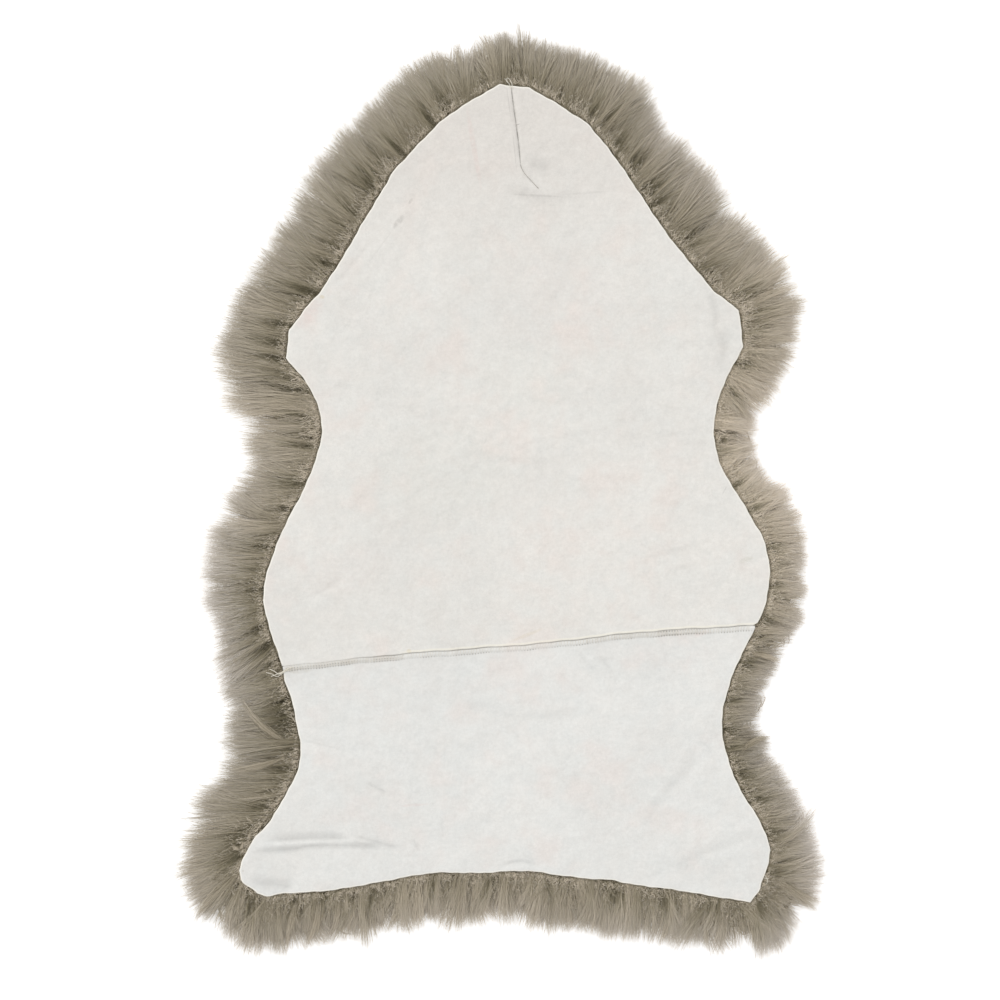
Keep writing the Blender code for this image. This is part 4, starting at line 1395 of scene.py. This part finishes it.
def stray_strands(rng, fleece, count, steps):
    """Loose hairs that lie across the locks and past the rim."""
    outline = fleece.outline
    at = fleece.places(rng.uniform(0, fleece.along[-1], count))
    ahead = turned(outline.comb[at], np.radians(rng.normal(0, 16, count)))
    start = rng.uniform(0.20, 0.78, count) * outline.reach[at]
    length = rng.uniform(0.22, 0.40, count) * outline.reach[at]
    t = np.linspace(0, 1, steps)[None, :]
    out = start[:, None] + length[:, None] * t
    side = rng.normal(0, 0.07, count)[:, None] * length[:, None] * t**2
    side = side + 0.5 * MM * np.sin(t * rng.uniform(3, 8, count)[:, None])
    share = np.clip(out / outline.reach[at][:, None], 0, 1.25)
    height = PILE_TOP * pile_height(share) + 0.8 * MM * np.sin(math.pi * t)
    widths = rng.uniform(0.14, 0.26, count) * MM
    rolls = np.radians(rng.normal(0, 25, count))
    pale = outline.pale[at] + rng.normal(0.04, 0.06, count)
    depth = rng.beta(0.5, 2.2, count)
    paths = laid(outline.edge[at], ahead, out, side, height)
    return Strands(paths, widths, rolls, pale, depth, outline.fade[at])


def underside_strands(rng, outline, pitch, each, steps):
    """Curled locks of the pile's face, pressed flat on the floor."""
    low, high = outline.rim.min(axis=0), outline.rim.max(axis=0)
    columns, rows = np.arange(low[0], high[0], pitch), np.arange(low[1], high[1], pitch)
    grid = np.stack(np.meshgrid(columns, rows), axis=-1).reshape(-1, 2)
    grid = grid + rng.uniform(-0.4, 0.4, grid.shape) * pitch
    grid = grid[inside(grid, outline.edge + (outline.comb * 0.42 * outline.reach[:, None]))]
    lock = np.repeat(np.arange(len(grid)), each)
    count = len(lock)
    heading = np.arctan2(grid[:, 1], grid[:, 0]) + rng.normal(0, 0.9, len(grid))
    curl = rng.choice([-1.0, 1.0], len(grid)) * rng.uniform(1.5, 3.6, len(grid))
    t = np.linspace(0, 1, steps)[None, :]
    length = rng.uniform(20, 34, count)[:, None] * MM
    bearing = heading[lock][:, None] + curl[lock][:, None] * t**1.4
    step = length / (steps - 1)
    x = np.cumsum(np.cos(bearing) * step, axis=1)
    y = np.cumsum(np.sin(bearing) * step, axis=1)
    spread = rng.normal(0, 2.6, (count, 2)) * MM
    plan = grid[lock][:, None] + spread[:, None] * (1 - 0.6 * t[..., None]) + np.stack([x, y], axis=2)
    height = (3.2 - 2.4 * np.sin(math.pi * t * 0.9)) * MM * rng.uniform(0.5, 1.0, count)[:, None]
    paths = np.concatenate([plan, np.maximum(height, STRAND_CLEAR)[..., None]], axis=2)
    widths = rng.uniform(0.9, 1.7, count) * MM
    rolls = np.radians(rng.normal(0, 12, count))
    depth = rng.beta(0.6, 1.6, count)
    return Strands(paths, widths, rolls, rng.uniform(0.1, 0.45, len(grid))[lock], depth)


def core_mesh(name, outline, surface, front, settings):
    """The felted body of one panel's pile: a closed lumpy pad under the locks."""
    rng = np.random.default_rng(settings.seed + 40 + front)
    seam = surface.seam[::6]
    rim = outline.edge + outline.comb * (0.60 * outline.reach)[:, None]
    rim = round_average(rim, 8)[::7]
    _, across = surface.from_seam(rim)
    kept = across > 0 if front else across < 0
    first = next(i for i in range(len(rim)) if kept[i] and not kept[i - 1])
    run = np.roll(rim, -first, axis=0)[: kept.sum()]
    if np.linalg.norm(run[-1] - seam[0]) > np.linalg.norm(run[-1] - seam[-1]):
        seam = seam[::-1]
    loop = turned_left(np.vstack([run, seam]))
    points, triangles = plan_of(loop, [], 8.0 * MM, rng)
    nearest, away = nearest_in(tree_of(outline.edge), points)
    under = inside(points, outline.edge)
    away = np.where(under, 0.0, away)
    lumps = rng.normal(0, 1.0, len(points))
    top = (LEATHER_UNDER - 1.2 * MM) * pile_height(away / (outline.reach[nearest] * 0.90))
    top = np.where(under, top, top * (0.80 + 0.02 * lumps))
    bottom = 1.3 * MM + 0.5 * MM * np.abs(lumps)
    _, rim_gap = nearest_in(tree_of(loop), points)
    bottom = bottom + 2.0 * MM * np.exp(-rim_gap / (4 * MM))
    top = np.maximum(top, bottom + 1.5 * MM)
    count = len(points)
    places = np.vstack([np.column_stack([points, top]), np.column_stack([points, bottom])])
    faces = [triangles, triangles[:, ::-1] + count]
    sides = np.concatenate([triangles[:, [0, 1]], triangles[:, [1, 2]], triangles[:, [2, 0]]])
    known = {(a, b) for a, b in sides}
    border = np.array([(a, b) for a, b in sides if (b, a) not in known])
    a, b = border[:, 0], border[:, 1]
    faces.append(np.stack([a, a + count, b + count], axis=1))
    faces.append(np.stack([a, b + count, b], axis=1))
    return triangle_mesh(name, places, np.vstack(faces))


# ---- Thread ----


def thread_mesh(name, lines, sides=6):
    """Round threads in one mesh, each along its own line of points, with its thickness in metres."""
    points, triangles, first = [], [], 0
    angles = np.linspace(0, 2 * math.pi, sides, endpoint=False)[None, :, None]
    for line, thick in lines:
        ahead = headed(line)
        side = np.cross(ahead, [0.13, 0.07, 1.0])
        side /= np.linalg.norm(side, axis=1)[:, None]
        upright = np.cross(side, ahead)
        ring = side[:, None] * np.cos(angles) + upright[:, None] * np.sin(angles)
        points.append((line[:, None] + ring * (thick / 2)).reshape(-1, 3))
        points.append(line[[0, -1]])
        around = [(first + k, first + (k + 1) % sides) for k in range(sides)]
        last = (len(line) - 1) * sides
        for step in range(0, last, sides):
            for a, b in around:
                triangles.append((a + step, b + step, b + step + sides))
                triangles.append((a + step, b + step + sides, a + step + sides))
        middle = first + last + sides
        for a, b in around:
            triangles.append((b, a, middle))
            triangles.append((a + last, b + last, middle + 1))
        first = middle + 2
    return triangle_mesh(name, np.vstack(points), np.array(triangles))


def thread_finish(name, colour, twist):
    """Waxed sewing thread with its twist."""
    finish = Finish(name)
    where, x, y, z = finish.place()
    ply = ((x + y * 0.7 + z) * (2 * math.pi / twist)).wave()
    base = finish.mixed(ply * 0.5, tint(colour, 1.05), tint(colour, 0.8))
    normal = finish.bump(ply, 0.08 * MM)
    return finish.done(Base_Color=base, Roughness=0.7, Specular_IOR_Level=0.3, Normal=normal)


# The stretches of the seam, in mm along it, where its stitches stand clear of the leather.
CLEAR_STITCHES = table(
    "Stretch",
    "start end proud",
    (2, 24, 0.10), (24, 66, 0.28), (66, 92, 0.12), (92, 120, 0.24), (120, 305, -0.02),
    (305, 345, 0.14), (345, 424, 0.24), (424, 470, 0.10),
)


def stitch(surface, spot, forward, share, reach, slant, dip):
    """One stitch's line, across another line at a spot of it, over the leather by dip at each point."""
    aside = np.array([-forward[1], forward[0]])
    plan = spot + aside * (share * reach)[:, None] + forward * slant[:, None]
    return np.column_stack([plan, surface.height(plan) + dip * MM])


def seam_threads(surface, settings):
    """The over-edge stitches along the seam, each a small slanted loop across its band."""
    rng = np.random.default_rng(settings.seed)
    lines = []
    length = surface.seam_along[-1] / MM
    ahead = headed(surface.seam)
    share = np.linspace(-1.0, 1.0, 6)
    for stretch in CLEAR_STITCHES:
        for along in np.arange(stretch.start, min(stretch.end, length - 4), SEAM_PITCH):
            spot = int(np.searchsorted(surface.seam_along, along * MM))
            slant = 0.45 * MM * share + rng.normal(0, 0.08) * MM
            dip = np.where(np.abs(share) > 0.95, -0.45, stretch.proud + rng.normal(0, 0.03))
            reach = (SEAM_BAND - 0.1) * MM
            line = stitch(surface, surface.seam[spot], ahead[spot], share, reach, slant, dip)
            lines.append((line, settings.thread))
    return lines


# Loose ends of thread: the piece each is part of, its thickness, and places with a height over the
# leather at each.
TAILS = table(
    "Tail",
    "piece thick places",
    ("seam_thread_ends", 0.75,
     ((293, 667, 0.2), (287, 669, 0.9), (281, 672.5, 0.6), (275, 675, -0.6), (271, 676.5, -1.6))),
    ("seam_thread_ends", 0.7,
     ((291, 670, 0.2), (284, 671.5, 1.0), (279, 674, 0.9), (274, 671, -0.2), (269.5, 669, -1.4))),
    ("seam_thread_ends", 0.6,
     ((289, 668, 0.3), (283, 673, 0.7), (277, 676.5, -0.4), (272, 674, -1.2), (266, 672.5, -2.4))),
    ("neck_thread_ends", 0.55,
     ((511, 89, 0.1), (509, 84, 0.9), (506.5, 80.5, 0.6), (504.5, 78.5, -0.4))),
    ("neck_thread_ends", 0.55,
     ((512.5, 89, 0.1), (512, 84.5, 1.2), (510, 80, 1.0),
      (507.5, 78, 0.2), (506.5, 81, -0.2), (509.5, 84, 0.4))),
    ("neck_thread_ends", 0.5,
     ((764, 874, 0.3), (766, 877, 0.9), (767.5, 880.5, 0.5), (766.5, 884, -0.8))),
    ("neck_thread_ends", 0.45, ((763, 877, 0.2), (765.5, 878.5, 0.9), (769, 878.5, -0.2))),
    ("dart_thread_end", 0.5,
     ((520.5, 165, 0.0), (522, 169, 0.5), (525, 174, 0.9),
      (530, 179.5, 0.7), (535, 185, 0.5), (538.5, 188.5, 0.2))),
)


def tail_line(surface, tail):
    """The smooth line of a loose end, laid over the leather."""
    places = np.array(tail.places)
    plan = on_mat(places[:, 0], places[:, 1])
    height = surface.height(plan) + (places[:, 2] + tail.thick / 2) * MM
    line, _ = softened(np.column_stack([plan, height]), NO_CORNERS, 0.9 * MM, closed=False)
    return line, tail.thick * MM


DART_THREAD = 0.32 * MM
DART_SHADE = 0.55  # of the seam thread's colour
CREAM = (0.80, 0.76, 0.66)  # of the loose ends


def dart_threads(surface, settings):
    """Fine stitches that close the slit of the neck dart."""
    rng = np.random.default_rng(settings.seed + 7)
    _, line = surface.creases[0]
    ahead = headed(line)
    share = np.linspace(-1.0, 1.0, 5)
    dip = np.array([-0.3, 0.02, 0.08, 0.02, -0.3])
    lines = []
    for spot in range(2, len(line) - 1):
        slant = 0.3 * MM * share + rng.normal(0, 0.1) * MM
        sewn_line = stitch(surface, line[spot], ahead[spot], share, 0.75 * MM, slant, dip)
        lines.append((sewn_line, DART_THREAD))
    return lines


# ---- The add-on ----


class RugLeather(bpy.types.PropertyGroup):
    """The two panels of skin."""

    thickness: bpy.props.FloatProperty(
        name="Thickness", description="Of the tanned skin", default=1.9 * MM, min=0.0005, unit="LENGTH"
    )
    grid: bpy.props.FloatProperty(
        name="Mesh step", description="Between points of the panels", default=5.2 * MM, unit="LENGTH"
    )
    front_colour: bpy.props.FloatVectorProperty(
        name="Front colour", description="Neck panel", default=(0.755, 0.730, 0.688), subtype="COLOR"
    )
    rear_colour: bpy.props.FloatVectorProperty(
        name="Rear colour", description="Tail panel", default=(0.755, 0.742, 0.711), subtype="COLOR"
    )
    # the raw cut's colour, also used for the painted highlight along the panels' cut edge
    cut_edge_and_highlight_colour: bpy.props.FloatVectorProperty(
        name="Cut edge", description="Colour of the raw cut", default=(0.93, 0.90, 0.82), subtype="COLOR"
    )
    seed: bpy.props.IntProperty(name="Seed", description="Of the mesh's unevenness", default=3)


class RugWool(bpy.types.PropertyGroup):
    """The pile."""

    dark: bpy.props.FloatVectorProperty(
        name="Dark wool", description="The darkest locks", default=(0.33, 0.288, 0.203), subtype="COLOR"
    )
    light: bpy.props.FloatVectorProperty(
        name="Light wool", description="The lightest locks", default=(0.86, 0.75, 0.60), subtype="COLOR"
    )
    tip: bpy.props.FloatVectorProperty(
        name="Tips", description="Where the locks thin out", default=(0.87, 0.82, 0.78), subtype="COLOR"
    )
    # painted shade: the dark of the pile's depth, seen between locks
    deep: bpy.props.FloatVectorProperty(
        name="Depth", description="Wool between locks", default=(0.200, 0.172, 0.120), subtype="COLOR"
    )
    pitch: bpy.props.FloatProperty(
        name="Lock pitch", description="Between locks halfway out", default=7.0 * MM, unit="LENGTH"
    )
    strands: bpy.props.IntProperty(name="Strands", description="In each lock", default=132)
    under_strands: bpy.props.IntProperty(
        name="Strands below", description="In each lock of the depth", default=45
    )
    seed: bpy.props.IntProperty(name="Seed", description="Of the locks", default=11)


class RugThread(bpy.types.PropertyGroup):
    """The sewing."""

    thread: bpy.props.FloatProperty(
        name="Thread", description="Thickness of the seam's thread", default=0.42 * MM, unit="LENGTH"
    )
    colour: bpy.props.FloatVectorProperty(
        name="Thread colour", description="Of the seam", default=(0.72, 0.68, 0.60), subtype="COLOR"
    )
    seed: bpy.props.IntProperty(name="Seed", description="Of the stitches", default=5)


class RugStage(bpy.types.PropertyGroup):
    """Floor and light."""

    floor: bpy.props.FloatVectorProperty(
        name="Floor", description="Colour of the floor", default=(0.86, 0.86, 0.86), subtype="COLOR"
    )
    glow: bpy.props.FloatProperty(
        name="Floor glow", description="Light that the floor gives of its own", default=0.45
    )
    sky: bpy.props.FloatProperty(name="Room light", description="Soft light from all round", default=0.82)
    lamp: bpy.props.FloatProperty(name="Lamp", description="Broad light from one side", default=0.95)


_made = {}  # what several operators share, each worked out once


def outline_and_surface():
    """The frame's outline and the leather's surface, worked out once."""
    if "outline" not in _made:
        _made["outline"] = Outline()
        _made["surface"] = Surface(_made["outline"])
    return _made["outline"], _made["surface"]


class RUG_OT_leather(bpy.types.Operator):
    """Cuts the two panels of skin and gives them their thickness, creases and suede"""

    bl_idname = "rug.leather"
    bl_label = "Leather panels"

    def execute(self, context):
        settings = context.scene.rug_leather
        outline, surface = outline_and_surface()
        raw = cut_edge_finish("skin_cut_edge", settings.cut_edge_and_highlight_colour)
        for side, colour in (("front", settings.front_colour), ("rear", settings.rear_colour)):
            mesh = leather_mesh(f"leather_{side}", outline, surface, side == "front", settings)
            skin = leather_finish(f"suede_{side}", colour, settings.cut_edge_and_highlight_colour)
            panel = shown(mesh, skin, raw)
            bpy.ops.object.select_all(action="DESELECT")
            context.view_layer.objects.active = panel
            panel.select_set(True)
            wall = panel.modifiers.new("thickness", "SOLIDIFY")
            wall.thickness = settings.thickness
            wall.offset = -1.0
            wall.material_offset_rim = 1
            bpy.ops.object.modifier_apply(modifier=wall.name)
            panel.select_set(False)
            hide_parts(f"skin_{side}")
        return {"FINISHED"}


class RUG_OT_threads(bpy.types.Operator):
    """Sews the cross seam and the neck dart, and leaves their loose ends"""

    bl_idname = "rug.threads"
    bl_label = "Seam, dart and loose ends"

    def execute(self, context):
        settings = context.scene.rug_thread
        _, surface = outline_and_surface()
        pale = thread_finish("seam_thread", settings.colour, 0.9)
        grey = thread_finish("dart_thread", tuple(c * DART_SHADE for c in settings.colour), 0.8)
        cream = thread_finish("loose_thread", CREAM, 1.1)
        shown(thread_mesh("seam_stitches", seam_threads(surface, settings)), pale)
        shown(thread_mesh("dart_stitches", dart_threads(surface, settings)), grey)
        ends = {"seam_thread_ends": cream, "neck_thread_ends": cream, "dart_thread_end": grey}
        for name, finish in ends.items():
            lines = [tail_line(surface, tail) for tail in TAILS if tail.piece == name]
            shown(thread_mesh(name, lines), finish)
        return {"FINISHED"}


class RUG_OT_pile_body(bpy.types.Operator):
    """Makes the felted body of each panel's pile"""

    bl_idname = "rug.pile_body"
    bl_label = "Body of the pile"

    def execute(self, context):
        settings = context.scene.rug_wool
        outline, surface = outline_and_surface()
        # painted light on the tops of the curls in the pile's depth
        lit_curl_tops = tuple(c * 1.9 for c in settings.deep)
        felt = deep_wool_finish("wool_depth_painted_shade", tuple(settings.deep), lit_curl_tops)
        for side in ("front", "rear"):
            mesh = core_mesh(f"pile_body_{side}", outline, surface, side == "front", settings)
            body = shown(mesh, felt)
            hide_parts(f"fleece_{side}")
        return {"FINISHED"}


def wool_material(settings):
    """The strands' material, made once."""
    if "wool" not in _made:
        _made["wool"] = wool_finish(
            "wool_strands", tuple(settings.dark), tuple(settings.light), tuple(settings.tip)
        )
    return _made["wool"]


def show_wool(rng, strands, name, settings):
    """Puts strands in the scene as wool."""
    for mesh in strands.pieces(rng, name):
        shown(mesh, wool_material(settings))


# The depth of the pile and the locks over it: between which shares of its depth they lie, how many mm
# inside the cut edge they start, the strands in a wisp, how wisps and strands stray in degrees, how far
# and how often they curl, how high a lock's middle stands, their thickness, and how their tones mix.
UNDER_WOOL = {
    "layers": (0.12, 0.66), "inset": (8, 26), "splay": 6.0, "wisp": 3, "loose": 2.5,
    "curl": 0.8, "turns": 0.7, "dome": 0.0, "thick": 0.66, "mix": 0.03,
}
OVER_WOOL = {
    "layers": (0.62, 1.0), "inset": (3, 8), "splay": 4.4, "wisp": 4, "loose": 2.6,
    "curl": 1.2, "turns": 0.8, "dome": 1.1, "thick": 0.27, "mix": 0.06,
}


class RUG_OT_fringe(bpy.types.Operator):
    """Combs the locks out all round the cut edge"""

    bl_idname = "rug.fringe"
    bl_label = "Locks round the edge"

    def execute(self, context):
        settings = context.scene.rug_wool
        outline, _ = outline_and_surface()
        fleece = Fleece(outline, settings)
        rng = np.random.default_rng(settings.seed)
        partings = table_partings() + small_partings(rng, outline, count=110)
        locks = fleece.locks(rng, settings.pitch * 1.4, turn_noise=5.0)
        under = fleece.strands(rng, locks, settings.under_strands, 4, UNDER_WOOL)
        locks = fleece.locks(rng, settings.pitch, turn_noise=5.0)
        over = fleece.strands(rng, locks, settings.strands, 5, OVER_WOOL)
        show_wool(rng, under.part(partings, push_share=0.0).shaded(), "wool_under", settings)
        show_wool(rng, over.part(partings).shaded(), "wool_locks", settings)
        show_wool(rng, lock_strands(rng, each=76, steps=6, thick=0.28), "wool_tufts", settings)
        show_wool(rng, stray_strands(rng, fleece, count=7000, steps=5), "wool_strays", settings)
        return {"FINISHED"}


class RUG_OT_crimp(bpy.types.Operator):
    """Adds the short crimped wool beside the leather"""

    bl_idname = "rug.crimp"
    bl_label = "Crimped wool"

    def execute(self, context):
        settings = context.scene.rug_wool
        outline, _ = outline_and_surface()
        fleece = Fleece(outline, settings)
        rng = np.random.default_rng(settings.seed + 1)
        strands = crimped_strands(rng, fleece, count=16000, steps=7)
        show_wool(rng, strands.part(table_partings(), 0.8).shaded(), "wool_crimp", settings)
        return {"FINISHED"}


class RUG_OT_underside(bpy.types.Operator):
    """Lays the curled face of the pile on the floor"""

    bl_idname = "rug.underside"
    bl_label = "Face of the pile"

    def execute(self, context):
        settings = context.scene.rug_wool
        outline, _ = outline_and_surface()
        rng = np.random.default_rng(settings.seed + 2)
        strands = underside_strands(rng, outline, pitch=14.0 * MM, each=3, steps=5)
        show_wool(rng, strands, "wool_face", settings)
        return {"FINISHED"}


FLOOR_SIZE = 40.0
CAMERA_BASE = 30 * MM  # the height at which the view is VIEW_WIDTH wide
LAMP_SPREAD = 80  # degrees of sky that the broad light fills
LAMP_TILT = (-30, -24)  # degrees, away from the maker and to the left


class RUG_OT_stage(bpy.types.Operator):
    """Sets the floor, the light and the camera straight above"""

    bl_idname = "rug.stage"
    bl_label = "Floor, light and camera"

    def execute(self, context):
        settings = context.scene.rug_stage
        bpy.ops.object.select_all(action="DESELECT")
        bpy.ops.mesh.primitive_plane_add(size=FLOOR_SIZE, location=(0.0, 0.0, 0.0))
        floor = context.object
        floor.name = "floor"
        finish = Finish("floor_paper")
        where, _, _, _ = finish.place()
        grain = finish.noise(where, 0.02, 3.0)
        colour = finish.mixed(grain * 0.04, tint(settings.floor), tint(settings.floor, 0.97))
        floor.data.materials.append(
            finish.done(
                Base_Color=colour,
                Roughness=0.95,
                Specular_IOR_Level=0.1,
                Emission_Color=(1.0, 1.0, 1.0, 1.0),
                Emission_Strength=settings.glow,
            )
        )
        world = bpy.data.worlds.new("room")
        context.scene.world = world
        world.use_nodes = True
        back = world.node_tree.nodes["Background"]
        back.inputs["Color"].default_value = (1.0, 1.0, 1.0, 1.0)
        back.inputs["Strength"].default_value = settings.sky
        lamp_data = bpy.data.lights.new("softbox", "SUN")
        lamp_data.energy = settings.lamp
        lamp_data.angle = math.radians(LAMP_SPREAD)
        lamp = bpy.data.objects.new("softbox", lamp_data)
        lamp.rotation_euler = (math.radians(LAMP_TILT[0]), math.radians(LAMP_TILT[1]), 0.0)
        context.scene.collection.objects.link(lamp)
        camera_data = bpy.data.cameras.new("camera")
        camera_data.lens = 200.0
        camera_data.sensor_width = 36.0
        camera_data.clip_end = 100.0
        camera = bpy.data.objects.new("camera", camera_data)
        centre = on_mat(*VIEW_CENTRE)
        distance = VIEW_WIDTH * camera_data.lens / camera_data.sensor_width
        camera.location = (float(centre[0]), float(centre[1]), CAMERA_BASE + distance)
        context.scene.collection.objects.link(camera)
        context.scene.camera = camera
        context.scene.view_settings.view_transform = "Standard"
        return {"FINISHED"}


class RUG_PT_panel(bpy.types.Panel):
    """Lists the rug's pieces and their settings."""

    bl_idname = "RUG_PT_panel"
    bl_label = "Sheepskin rug"
    bl_space_type = "VIEW_3D"
    bl_region_type = "UI"
    bl_category = "Sheepskin"

    def draw(self, context):
        for group in GROUPS:
            box = self.layout.box()
            settings = getattr(context.scene, group)
            for name in settings.__annotations__:
                box.prop(settings, name)
        for operator in OPERATORS:
            self.layout.operator(operator.bl_idname)


GROUPS = {
    "rug_leather": RugLeather,
    "rug_wool": RugWool,
    "rug_thread": RugThread,
    "rug_stage": RugStage,
}
OPERATORS = (
    RUG_OT_stage,
    RUG_OT_leather,
    RUG_OT_threads,
    RUG_OT_pile_body,
    RUG_OT_fringe,
    RUG_OT_crimp,
    RUG_OT_underside,
)


def register():
    """Adds the classes and the settings to Blender."""
    for kind in (*GROUPS.values(), *OPERATORS, RUG_PT_panel):
        bpy.utils.register_class(kind)
    for name, kind in GROUPS.items():
        setattr(bpy.types.Scene, name, bpy.props.PointerProperty(type=kind))


def unregister():
    """Takes them out again."""
    for name in GROUPS:
        delattr(bpy.types.Scene, name)
    for kind in reversed((*GROUPS.values(), *OPERATORS, RUG_PT_panel)):
        bpy.utils.unregister_class(kind)


def main():
    """Makes every piece in order."""
    register()
    bpy.ops.rug.stage()
    bpy.ops.rug.leather()
    bpy.ops.rug.threads()
    bpy.ops.rug.pile_body()
    bpy.ops.rug.fringe()
    bpy.ops.rug.crimp()
    bpy.ops.rug.underside()
    bpy.context.view_layer.update()


if __name__ == "__main__":
    main()
